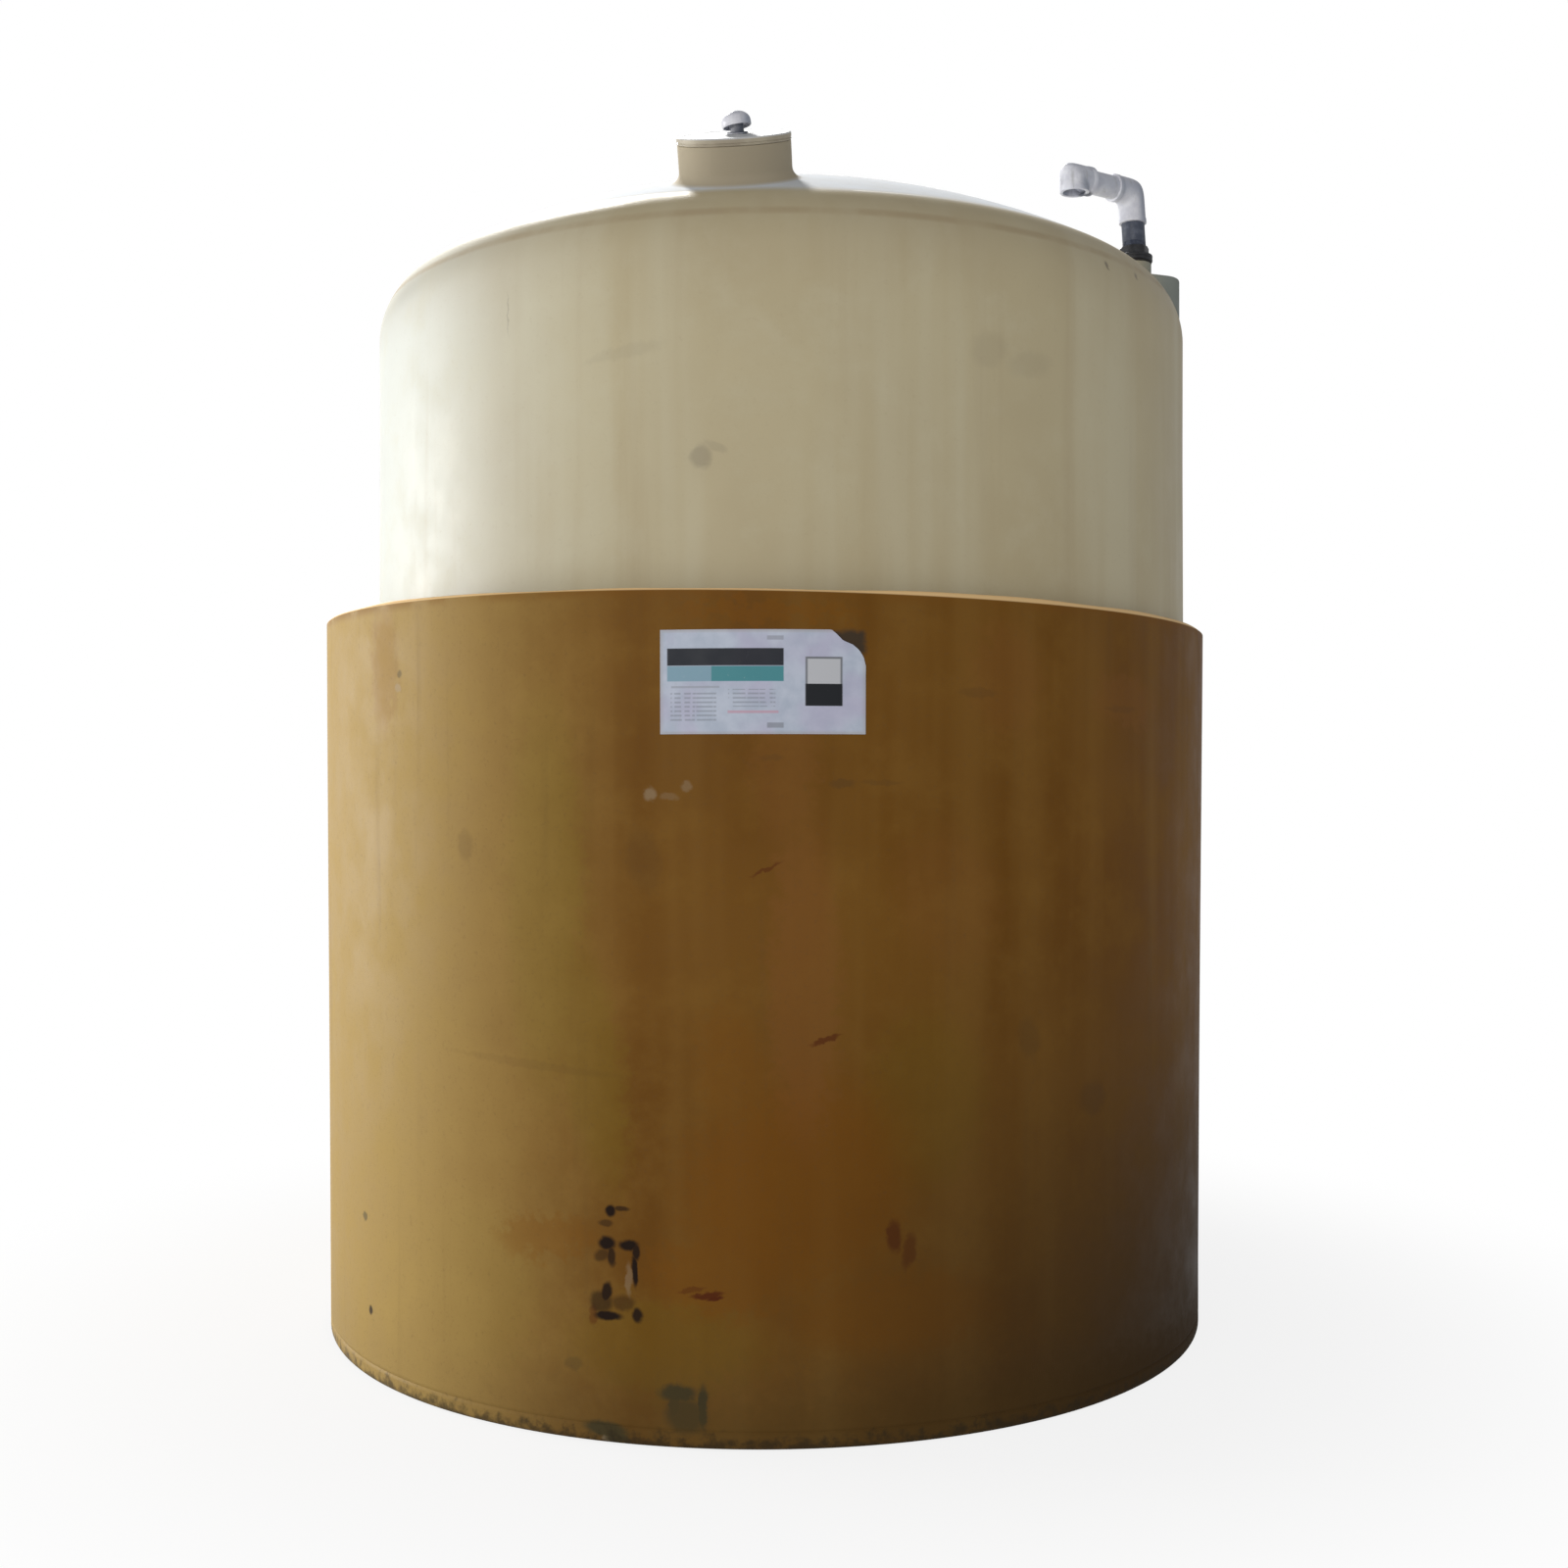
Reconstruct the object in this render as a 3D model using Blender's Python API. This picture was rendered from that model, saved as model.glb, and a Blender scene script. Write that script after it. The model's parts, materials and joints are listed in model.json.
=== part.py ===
"""Vertical polyethylene storage tank standing in an open-top containment basin.

Metres, +Z up. The origin is the centre of the basin's underside, which stands on the ground.
The camera side of the object, with its label and its lid, faces -Y.
"""

import math

import bmesh
import bpy
from mathutils import Matrix, Vector

# Clearance between solids that touch in the real object
GAP = 0.0003

# Containment basin: one open-top moulding, slightly wider at its rim
BASIN_RIM_R = 1.372
BASIN_FOOT_R = 1.352
BASIN_HEIGHT = 2.122
BASIN_RIM_SLOPE = -0.0109
BASIN_WALL = 0.014
BASIN_FLOOR = 0.020
BASIN_FOOT_ROUND = 0.018

# Storage tank: straight wall, rounded shoulder and a domed top
TANK_X = 0.050
TANK_FOOT_Z = BASIN_FLOOR + GAP
TANK_R = 1.263
TANK_WALL = 0.014
TANK_BOTTOM = 0.016
TANK_FOOT_ROUND = 0.014
SHOULDER_Z = 2.998
SHOULDER_R = 0.200
CROWN_R = 2.375

# Round walls are made in equal segments
WALL_SEGMENTS = 8
STEPS_PER_SEGMENT = 10

# Moulded flat for the vent fitting, on the tank's shoulder at +X, falling a little outwards
PAD_TOP = 3.256
PAD_SLOPE = -0.12
PAD_FOOT = 3.030
PAD_INNER_X = 0.960
PAD_HALF_WIDTH = 0.120
PAD_CORNER_R = 0.045

# Lid neck, near the front of the dome. Its axis stands square on the dome and so leans to the
# front. Heights on it are measured outwards along that axis, from the dome's skin.
NECK_X = -0.0693
NECK_Y = -0.9815
NECK_R = 0.1515
NECK_WALL = 0.012
NECK_FILLET = 0.028
NECK_STEPS = 48
NECK_FLARE_STEPS = 5
NECK_FOOT_EDGE = 0.002
LID_TOP = 0.112
LID_THICK = 0.020
LID_OVERHANG = 0.001
LID_PLUG = 0.015
LID_PLUG_PLAY = 0.002
LID_EDGE_ROUND = 0.004

# Mushroom vent on the lid. Its stem is bent, so that the cap leans less to the front than the
# lid does, and a little to the left.
CAP_OFFSET = 0.010
CAP_R = 0.039
CAP_LOW = 0.129
CAP_HEIGHT = 0.040
CAP_LEAN_FRONT = math.radians(8)
CAP_LEAN_LEFT = math.radians(10)
CAP_STEM_R = 0.018
CAP_FLANGE_R = 0.028
CAP_FLANGE = 0.004
CAP_SKIRT = 0.012
CAP_CHAMFER = 0.004
CAP_STEPS = 6

# Vent fitting on the flat: moulded boss, gasket, flange and hexagon, in plumb
VENT_X = 1.183
VENT_Y = -0.030
BOSS_R = 0.053
BOSS_TOP = 3.314
GASKET_R = 0.054
GASKET = 0.004
FLANGE_R = 0.057
FLANGE = 0.022
FLANGE_CHAMFER = 0.004
HEXAGON_ACROSS_FLATS = 0.082
HEXAGON_TOP = 3.368

# Gooseneck in nominal 2.5 inch pipe: a dark nipple, then white fittings. It leans a little to
# the left from the hexagon up, and its level run turns towards the front of the tank.
PIPE_R = 0.0365
NIPPLE_TOP = 3.444
PIPE_LEAN = math.tan(math.radians(3.6))
RUN_Z = 3.548
RUN_TURN = math.radians(212.5)
RUN_LENGTH = 0.243
UPPER_ELBOW_R = 0.0415
UPPER_BEND_R = 0.060
SOCKET_LENGTH = 0.020
OUTLET_ELBOW_R = 0.0455
OUTLET_BEND_R = 0.047
OUTLET_BORE_R = 0.035
OUTLET_BORE_TURN = math.radians(50)
PIPE_STEPS = 24
FITTING_STEPS = 36
ELBOW_STEPS = 8
HEEL_POWER = 5
OUTLET_HEEL_POWER = 7

# Product label, stuck to the front of the basin
LABEL_WIDTH = 0.510
LABEL_LOW = 1.759
LABEL_HIGH = 2.016
LABEL_X = 0.007
LABEL_THICK = 0.001
LABEL_STEPS = 12

TAN = (0.42, 0.24, 0.075)
IVORY = (0.72, 0.66, 0.50)
WHITE = (0.78, 0.80, 0.84)
BLACK = (0.02, 0.02, 0.022)
SLATE = (0.09, 0.10, 0.13)
LABEL = (0.62, 0.66, 0.72)


def clear_scene():
    for old in list(bpy.data.objects):
        bpy.data.objects.remove(old, do_unlink=True)


def material(name, colour, roughness):
    made = bpy.data.materials.get(name)
    if made is None:
        made = bpy.data.materials.new(name)
        made.use_nodes = True
        shader = made.node_tree.nodes["Principled BSDF"]
        shader.inputs["Base Color"].default_value = (*colour, 1.0)
        shader.inputs["Roughness"].default_value = roughness
        shader.inputs["Metallic"].default_value = 0.0
    return made


def add_object(name, mesh_maker, finish, smooth_angle=30):
    """Put a filled bmesh into the scene as one named, smooth-shaded object."""
    mesh = bpy.data.meshes.new(name)
    bmesh.ops.recalc_face_normals(mesh_maker, faces=mesh_maker.faces)
    mesh_maker.to_mesh(mesh)
    mesh_maker.free()
    mesh.shade_smooth()
    mesh.set_sharp_from_angle(angle=math.radians(smooth_angle))
    mesh.materials.append(material(*finish))
    made = bpy.data.objects.new(name, mesh)
    bpy.context.scene.collection.objects.link(made)
    return made


def loft(rings, closed):
    """Join rings of points into a skin. Open lofts get a flat face on each end."""
    maker = bmesh.new()
    rows = []
    for ring in rings:
        if len(ring) == 1:
            rows.append([maker.verts.new(ring[0])])
        else:
            rows.append([maker.verts.new(point) for point in ring])
    pairs = list(zip(rows, rows[1:]))
    if closed:
        pairs.append((rows[-1], rows[0]))
    for row, following in pairs:
        count = max(len(row), len(following))
        for i in range(count):
            j = (i + 1) % count
            corners = [row[i % len(row)], row[j % len(row)],
                       following[j % len(following)], following[i % len(following)]]
            maker.faces.new(list(dict.fromkeys(corners)))
    if not closed:
        for row in (rows[0], rows[-1]):
            if len(row) > 2:
                maker.faces.new(row)
    return maker


def turned(name, outline, centre, steps, finish):
    """A solid of revolution about a vertical axis. The outline runs from axis to axis, or is a
    closed ring section when none of its points is on the axis."""
    x0, y0 = centre
    rings = []
    for radius, z in outline:
        if radius == 0:
            rings.append([(x0, y0, z)])
            continue
        turn = [2 * math.pi * i / steps for i in range(steps)]
        rings.append([(x0 + radius * math.cos(a), y0 + radius * math.sin(a), z) for a in turn])
    is_ring = all(radius > 0 for radius, z in outline)
    return add_object(name, loft(rings, closed=is_ring), finish)


def quarter_round(radius, centre, start, steps=4):
    """Points of a 90 degree arc in the (radius, z) plane, turning anticlockwise."""
    x0, z0 = centre
    turn = [start + math.radians(90) * i / steps for i in range(steps + 1)]
    return [(x0 + radius * math.cos(a), z0 + radius * math.sin(a)) for a in turn]


def rounded_disc(name, radius, low, high, low_round, centre, steps, finish):
    """A flat disc whose lower edge is rounded."""
    edge = quarter_round(low_round, (radius - low_round, low + low_round), -math.radians(90))
    outline = [(0, low)] + edge + [(radius, high), (0, high)]
    return turned(name, outline, centre, steps, finish)


def wall_segment(name, index, section, centre, finish):
    """One equal share of a round wall. section(x, y) gives the (radius, z) corners at a bearing."""
    share = 2 * math.pi / WALL_SEGMENTS
    seam = GAP / (2 * TANK_R)
    first = index * share + seam
    last = (index + 1) * share - seam
    rings = []
    for i in range(STEPS_PER_SEGMENT + 1):
        bearing = first + (last - first) * i / STEPS_PER_SEGMENT
        across = math.cos(bearing)
        along = math.sin(bearing)
        rings.append([(centre + r * across, r * along, z) for r, z in section(across)])
    return add_object(name, loft(rings, closed=False), finish)


def basin_radius(z):
    """Outer radius of the basin's wall at a height."""
    return BASIN_FOOT_R + (BASIN_RIM_R - BASIN_FOOT_R) * z / BASIN_HEIGHT


def basin_section(across):
    """The wall's section. The rim was cut slightly out of level, lower towards +X."""
    low = BASIN_FLOOR + GAP
    high = BASIN_HEIGHT + BASIN_RIM_SLOPE * BASIN_RIM_R * across
    outer_low = basin_radius(low)
    outer_high = basin_radius(BASIN_HEIGHT)
    return [(outer_low, low), (outer_high, high),
            (outer_high - BASIN_WALL, high), (outer_low - BASIN_WALL, low)]


def make_basin():
    finish = ("basin_plastic", TAN, 0.55)
    steps = WALL_SEGMENTS * STEPS_PER_SEGMENT
    rounded_disc("basin_floor", basin_radius(BASIN_FLOOR), 0.0, BASIN_FLOOR,
                 BASIN_FOOT_ROUND, (0, 0), steps, finish)
    for index in range(WALL_SEGMENTS):
        wall_segment(f"basin_wall_{index + 1}", index, basin_section, 0.0, finish)


def tank_section(across):
    low = TANK_FOOT_Z + TANK_BOTTOM + GAP
    high = SHOULDER_Z - GAP
    inner = TANK_R - TANK_WALL
    return [(TANK_R, low), (TANK_R, high), (inner, high), (inner, low)]


def shoulder_turn():
    """Angle from the vertical at which the rounded shoulder meets the crown."""
    return math.asin((TANK_R - SHOULDER_R) / (CROWN_R - SHOULDER_R))


def crown_centre_z():
    return SHOULDER_Z - (CROWN_R - SHOULDER_R) * math.cos(shoulder_turn())


def dome_height(x, y, proud=0.0):
    """Height of the dome's outer skin above a point, or of a skin proud of it (or, below 0,
    inside it)."""
    across = math.hypot(x - TANK_X, y)
    if across <= (CROWN_R + proud) * math.sin(shoulder_turn()):
        return crown_centre_z() + math.sqrt((CROWN_R + proud) ** 2 - across ** 2)
    reach = across - (TANK_R - SHOULDER_R)
    return SHOULDER_Z + math.sqrt(max((SHOULDER_R + proud) ** 2 - reach ** 2, 0.0))


def dome_outline(proud, crown_steps=9, shoulder_steps=6):
    """(radius, z) points of the dome from its top down to the start of the straight wall."""
    meet = shoulder_turn()
    points = [(0, crown_centre_z() + CROWN_R + proud)]
    for i in range(1, crown_steps + 1):
        turn = meet * i / crown_steps
        points.append(((CROWN_R + proud) * math.sin(turn),
                       crown_centre_z() + (CROWN_R + proud) * math.cos(turn)))
    for i in range(1, shoulder_steps + 1):
        turn = meet + (math.pi / 2 - meet) * i / shoulder_steps
        points.append((TANK_R - SHOULDER_R + (SHOULDER_R + proud) * math.sin(turn),
                       SHOULDER_Z + (SHOULDER_R + proud) * math.cos(turn)))
    return points


def cut(piece, cutter):
    """Subtract a guide body from a piece, and keep the guide out of the model."""
    cutter.hide_render = True
    cutter.display_type = "WIRE"
    boolean = piece.modifiers.new("cut_" + cutter.name, "BOOLEAN")
    boolean.operation = "DIFFERENCE"
    boolean.solver = "EXACT"
    boolean.object = cutter


def make_tank():
    finish = ("tank_plastic", IVORY, 0.5)
    steps = WALL_SEGMENTS * STEPS_PER_SEGMENT
    low = TANK_FOOT_Z
    rounded_disc("tank_bottom", TANK_R, low, low + TANK_BOTTOM, TANK_FOOT_ROUND,
                 (TANK_X, 0), steps, finish)
    for index in range(WALL_SEGMENTS):
        wall_segment(f"tank_wall_{index + 1}", index, tank_section, TANK_X, finish)
    outer = dome_outline(0.0)
    inner = dome_outline(-TANK_WALL)
    dome = turned("tank_dome", outer + inner[::-1], (TANK_X, 0), steps, finish)
    reach = NECK_R + GAP
    drill = [(0, -LID_TOP), (reach, -LID_TOP), (reach, LID_TOP), (0, LID_TOP)]
    cut(dome, turned_on_neck("neck_hole", drill, NECK_STEPS, finish))


def pad_plan():
    """Corners of the flat seen from above, from the tank's axis: square inside, round outside."""
    half = PAD_HALF_WIDTH
    corner_y = half - PAD_CORNER_R
    reach = math.sqrt((TANK_R - GAP) ** 2 - corner_y ** 2)
    front = quarter_round(PAD_CORNER_R, (reach - PAD_CORNER_R, corner_y), 0.0, steps=5)
    back = [(x, -y) for x, y in front[::-1]]
    return [(PAD_INNER_X, -half)] + back + front + [(PAD_INNER_X, half)]


def pad_height(x):
    """Height of the flat's top, which is PAD_TOP at the vent."""
    return PAD_TOP + PAD_SLOPE * (x - VENT_X)


def make_fitting_pad():
    finish = ("tank_plastic", IVORY, 0.5)
    plan = [(TANK_X + x, VENT_Y + y) for x, y in pad_plan()]
    rings = [[(x, y, PAD_FOOT) for x, y in plan], [(x, y, pad_height(x)) for x, y in plan]]
    pad = add_object("fitting_pad", loft(rings, closed=False), finish)
    skin = dome_outline(GAP) + [(0, SHOULDER_Z)]
    dome_guide = turned("dome_guide", skin, (TANK_X, 0), WALL_SEGMENTS * STEPS_PER_SEGMENT, finish)
    cut(pad, dome_guide)


def neck_frame():
    """Carries a body that stands upright on the crown's centre to the neck's axis."""
    axis = Vector((NECK_X - TANK_X, NECK_Y, dome_height(NECK_X, NECK_Y) - crown_centre_z()))
    lean = Vector((0, 0, 1)).rotation_difference(axis).to_matrix().to_4x4()
    return Matrix.Translation((TANK_X, 0, crown_centre_z())) @ lean


def turned_on_neck(name, outline, steps, finish):
    """A solid of revolution about the neck's axis. The outline's heights are measured from the
    dome's skin."""
    made = turned(name, [(radius, CROWN_R + height) for radius, height in outline], (0, 0),
                  steps, finish)
    made.data.transform(neck_frame())
    return made


def skin_height(radius, proud=0.0):
    """Height of the dome's skin at a distance from the neck's axis: 0 or less."""
    return math.sqrt((CROWN_R + proud) ** 2 - radius ** 2) - CROWN_R


def make_neck():
    finish = ("tank_plastic", IVORY, 0.5)
    top = LID_TOP - LID_THICK - GAP
    inner = NECK_R - NECK_WALL
    foot_reach = NECK_R + NECK_FILLET
    outline = [(inner, top), (NECK_R, top)]
    for i in range(NECK_FLARE_STEPS + 1):
        turn = math.radians(90) * i / NECK_FLARE_STEPS
        radius = foot_reach - NECK_FILLET * math.cos(turn)
        lift = NECK_FOOT_EDGE + (NECK_FILLET - NECK_FOOT_EDGE) * (1 - math.sin(turn))
        outline.append((radius, skin_height(radius, GAP) + lift))
    outline.append((foot_reach, skin_height(foot_reach, 2 * GAP)))
    outline.append((NECK_R, skin_height(NECK_R, 2 * GAP)))
    outline.append((NECK_R, skin_height(NECK_R, -TANK_WALL)))
    outline.append((inner, skin_height(inner, -TANK_WALL)))
    turned_on_neck("lid_neck", outline, NECK_STEPS, finish)


def make_lid():
    finish = ("lid_plastic", IVORY, 0.5)
    radius = NECK_R + LID_OVERHANG
    low = LID_TOP - LID_THICK
    plug_r = NECK_R - NECK_WALL - LID_PLUG_PLAY
    edge = quarter_round(LID_EDGE_ROUND, (radius - LID_EDGE_ROUND, LID_TOP - LID_EDGE_ROUND), 0.0)
    outline = [(0, low - LID_PLUG), (plug_r, low - LID_PLUG), (plug_r, low), (radius, low)]
    outline += edge + [(0, LID_TOP)]
    turned_on_neck("lid", outline, NECK_STEPS, finish)


def circle(radius, frame, offset, height):
    """Points of a circle about an axis that is offset along X in a frame."""
    turns = [2 * math.pi * i / PIPE_STEPS for i in range(PIPE_STEPS)]
    return [frame @ Vector((offset + radius * math.cos(a), radius * math.sin(a), height))
            for a in turns]


def make_mushroom_vent():
    finish = ("vent_white", WHITE, 0.35)
    neck = neck_frame()
    cap_foot = neck @ Vector((CAP_OFFSET, 0, CROWN_R + CAP_LOW))
    axis = Vector((-math.tan(CAP_LEAN_LEFT), -math.tan(CAP_LEAN_FRONT), 1))
    lean = Vector((0, 0, 1)).rotation_difference(axis).to_matrix().to_4x4()
    level = Matrix.Translation(cap_foot) @ lean
    low = CROWN_R + LID_TOP + GAP
    rings = [circle(CAP_FLANGE_R, neck, CAP_OFFSET, low),
             circle(CAP_FLANGE_R, neck, CAP_OFFSET, low + CAP_FLANGE),
             circle(CAP_STEM_R, neck, CAP_OFFSET, low + CAP_FLANGE),
             circle(CAP_STEM_R, level, 0, -GAP)]
    add_object("lid_vent_stem", loft(rings, closed=False), finish)

    cap = [(0, 0), (CAP_R - CAP_CHAMFER, 0), (CAP_R, CAP_CHAMFER), (CAP_R, CAP_SKIRT)]
    for i in range(1, CAP_STEPS):
        turn = math.radians(90) * i / CAP_STEPS
        cap.append((CAP_R * math.cos(turn),
                    CAP_SKIRT + (CAP_HEIGHT - CAP_SKIRT) * math.sin(turn)))
    cap.append((0, CAP_HEIGHT))
    turned("lid_vent_cap", cap, (0, 0), PIPE_STEPS, finish).data.transform(level)


def stub(name, radius, low, high, steps, finish):
    """An upright cylinder on the vent's axis."""
    return turned(name, [(0, low), (radius, low), (radius, high), (0, high)],
                  (VENT_X, VENT_Y), steps, finish)


def make_vent_fitting():
    ivory = ("tank_plastic", IVORY, 0.5)
    black = ("fitting_black", BLACK, 0.4)
    rings = []
    for foot in (True, False):
        ring = []
        for i in range(FITTING_STEPS):
            turn = 2 * math.pi * i / FITTING_STEPS
            x = VENT_X + BOSS_R * math.cos(turn)
            z = pad_height(x) + GAP if foot else BOSS_TOP
            ring.append((x, VENT_Y + BOSS_R * math.sin(turn), z))
        rings.append(ring)
    add_object("vent_boss", loft(rings, closed=False), ivory)

    low = BOSS_TOP + GAP
    high = low + GASKET
    stub("vent_gasket", GASKET_R, low, high, FITTING_STEPS, ("gasket_rubber", BLACK, 0.8))
    low = high + GAP
    high = low + FLANGE
    outline = [(0, low), (FLANGE_R, low), (FLANGE_R, high - FLANGE_CHAMFER),
               (FLANGE_R - FLANGE_CHAMFER, high), (0, high)]
    turned("vent_flange", outline, (VENT_X, VENT_Y), FITTING_STEPS, black)
    corner_r = HEXAGON_ACROSS_FLATS / 2 / math.cos(math.radians(30))
    stub("vent_hexagon", corner_r, high + GAP, HEXAGON_TOP, 6, black)


def run_direction():
    return math.cos(RUN_TURN), math.sin(RUN_TURN)


def pipe_ring(centre, level, lift, radius_out, radius_side):
    """A pipe's ring with the gooseneck's lean. Its outer side points level along the run and
    lift upwards."""
    dx, dy = run_direction()
    ring = []
    for i in range(PIPE_STEPS):
        turn = 2 * math.pi * i / PIPE_STEPS
        out = radius_out * math.cos(turn)
        side = radius_side * math.sin(turn)
        z = centre[2] + out * lift
        ring.append((centre[0] + out * level * dx - side * dy - PIPE_LEAN * (z - HEXAGON_TOP),
                     centre[1] + out * level * dy + side * dx, z))
    return ring


def run_place(distance, z):
    """A point above the line of the vent's level run, from the riser's axis."""
    dx, dy = run_direction()
    return VENT_X + distance * dx, VENT_Y + distance * dy, z


def elbow_reach(turn, bend, radius, power):
    """An elbow's middle line and half width at a turn. A high power makes the heel square."""
    heel = (math.cos(turn) ** power + math.sin(turn) ** power) ** (1 / power)
    outer = (bend + radius) / heel
    inner = bend - radius
    return (outer + inner) / 2, (outer - inner) / 2


def upper_elbow_rings(radius):
    """Rings of the upper elbow, from its foot to its level end. The heel is nearly square."""
    pivot_z = RUN_Z - UPPER_BEND_R
    rings = []
    for i in range(ELBOW_STEPS + 1):
        turn = math.radians(90) * i / ELBOW_STEPS
        middle, half = elbow_reach(turn, UPPER_BEND_R, radius, HEEL_POWER)
        centre = run_place(UPPER_BEND_R - middle * math.cos(turn), pivot_z + middle * math.sin(turn))
        rings.append(pipe_ring(centre, -math.cos(turn), math.sin(turn), half, radius))
    return rings


def level_ring(distance, radius):
    return pipe_ring(run_place(distance, RUN_Z), 0.0, 1.0, radius, radius)


def outlet_rings(radius, first, last, steps, power):
    """Rings of the outlet elbow, which turns from level at 0 to straight down at 90 degrees."""
    rings = []
    start = RUN_LENGTH - OUTLET_BEND_R
    for i in range(steps + 1):
        turn = first + (last - first) * i / steps
        middle, half = elbow_reach(turn, OUTLET_BEND_R, radius, power)
        centre = run_place(start + middle * math.sin(turn),
                           RUN_Z - OUTLET_BEND_R + middle * math.cos(turn))
        rings.append(pipe_ring(centre, math.sin(turn), math.cos(turn), half, radius))
    return rings


def make_gooseneck():
    white = ("vent_white", WHITE, 0.35)
    rings = [pipe_ring(run_place(0, z), -1.0, 0.0, PIPE_R, PIPE_R)
             for z in (HEXAGON_TOP + GAP, NIPPLE_TOP)]
    add_object("vent_nipple", loft(rings, closed=False), ("nipple_slate", SLATE, 0.45))

    foot = pipe_ring(run_place(0, NIPPLE_TOP + GAP), -1.0, 0.0, UPPER_ELBOW_R, UPPER_ELBOW_R)
    rings = [foot] + upper_elbow_rings(UPPER_ELBOW_R)
    rings += [level_ring(UPPER_BEND_R + SOCKET_LENGTH, UPPER_ELBOW_R)]
    add_object("vent_upper_elbow", loft(rings, closed=False), white)

    run_first = UPPER_BEND_R + SOCKET_LENGTH + GAP
    run_last = RUN_LENGTH - OUTLET_BEND_R - SOCKET_LENGTH - GAP
    rings = [level_ring(run_first, PIPE_R), level_ring(run_last, PIPE_R)]
    add_object("vent_run", loft(rings, closed=False), white)

    down = math.radians(90)
    rings = [level_ring(run_last + GAP, OUTLET_ELBOW_R)]
    rings += outlet_rings(OUTLET_ELBOW_R, 0.0, down, ELBOW_STEPS, OUTLET_HEEL_POWER)
    rings += outlet_rings(OUTLET_BORE_R, down, down - OUTLET_BORE_TURN, ELBOW_STEPS // 2, 2)
    add_object("vent_outlet_elbow", loft(rings, closed=False), white)


def make_label():
    """A thin sheet that follows the basin's wall."""
    first = -math.pi / 2 + (LABEL_X - LABEL_WIDTH / 2) / BASIN_RIM_R
    last = -math.pi / 2 + (LABEL_X + LABEL_WIDTH / 2) / BASIN_RIM_R
    rings = []
    for i in range(LABEL_STEPS + 1):
        bearing = first + (last - first) * i / LABEL_STEPS
        ring = []
        for z, proud in ((LABEL_LOW, 0), (LABEL_HIGH, 0), (LABEL_HIGH, 1), (LABEL_LOW, 1)):
            radius = basin_radius(z) + 2 * GAP + LABEL_THICK * proud
            ring.append((radius * math.cos(bearing), radius * math.sin(bearing), z))
        rings.append(ring)
    add_object("label", loft(rings, closed=False), ("label_sheet", LABEL, 0.5))


def main():
    clear_scene()
    make_basin()
    make_tank()
    make_fitting_pad()
    make_neck()
    make_lid()
    make_mushroom_vent()
    make_vent_fitting()
    make_gooseneck()
    make_label()


main()
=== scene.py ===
"""Looks of a polyethylene storage tank that stands in an open-top containment basin.

Metres, +Z up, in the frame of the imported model. Places on a round wall are given by the arc
round it from the front (-Y), positive to the right (+X), and by height.
"""

import json
import math

import bmesh
import bpy
from mathutils import Matrix, Quaternion, Vector

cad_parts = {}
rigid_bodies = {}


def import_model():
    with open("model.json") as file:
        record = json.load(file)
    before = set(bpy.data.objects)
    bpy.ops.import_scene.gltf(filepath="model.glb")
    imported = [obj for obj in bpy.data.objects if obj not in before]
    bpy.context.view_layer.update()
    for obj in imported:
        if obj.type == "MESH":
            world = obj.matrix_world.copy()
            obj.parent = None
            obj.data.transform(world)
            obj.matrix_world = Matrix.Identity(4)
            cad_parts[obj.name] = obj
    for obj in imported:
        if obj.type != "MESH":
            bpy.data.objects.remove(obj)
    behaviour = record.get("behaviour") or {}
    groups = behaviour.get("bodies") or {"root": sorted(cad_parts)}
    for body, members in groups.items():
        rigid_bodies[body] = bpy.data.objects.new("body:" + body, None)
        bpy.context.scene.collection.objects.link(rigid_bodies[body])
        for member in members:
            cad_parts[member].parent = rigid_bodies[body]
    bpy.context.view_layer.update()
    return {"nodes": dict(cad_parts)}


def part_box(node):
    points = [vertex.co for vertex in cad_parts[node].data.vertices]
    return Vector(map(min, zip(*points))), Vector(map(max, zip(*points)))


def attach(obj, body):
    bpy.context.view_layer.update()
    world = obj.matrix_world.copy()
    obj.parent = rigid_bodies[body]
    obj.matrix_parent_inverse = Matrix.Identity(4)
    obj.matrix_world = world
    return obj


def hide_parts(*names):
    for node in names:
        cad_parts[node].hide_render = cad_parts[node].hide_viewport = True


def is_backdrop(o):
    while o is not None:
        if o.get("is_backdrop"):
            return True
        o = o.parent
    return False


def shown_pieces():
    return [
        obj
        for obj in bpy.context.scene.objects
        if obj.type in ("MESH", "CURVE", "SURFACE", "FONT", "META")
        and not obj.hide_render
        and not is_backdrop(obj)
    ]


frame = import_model()

WALL_COUNT = 8
BASIN_WALLS = [f"basin_wall_{i + 1}" for i in range(WALL_COUNT)]
TANK_WALLS = [f"tank_wall_{i + 1}" for i in range(WALL_COUNT)]


def span(*nodes):
    """Lowest and highest corner of several nodes of the frame together."""
    boxes = [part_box(node) for node in nodes]
    low = Vector([min(box[0][i] for box in boxes) for i in range(3)])
    high = Vector([max(box[1][i] for box in boxes) for i in range(3)])
    return low, high


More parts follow.
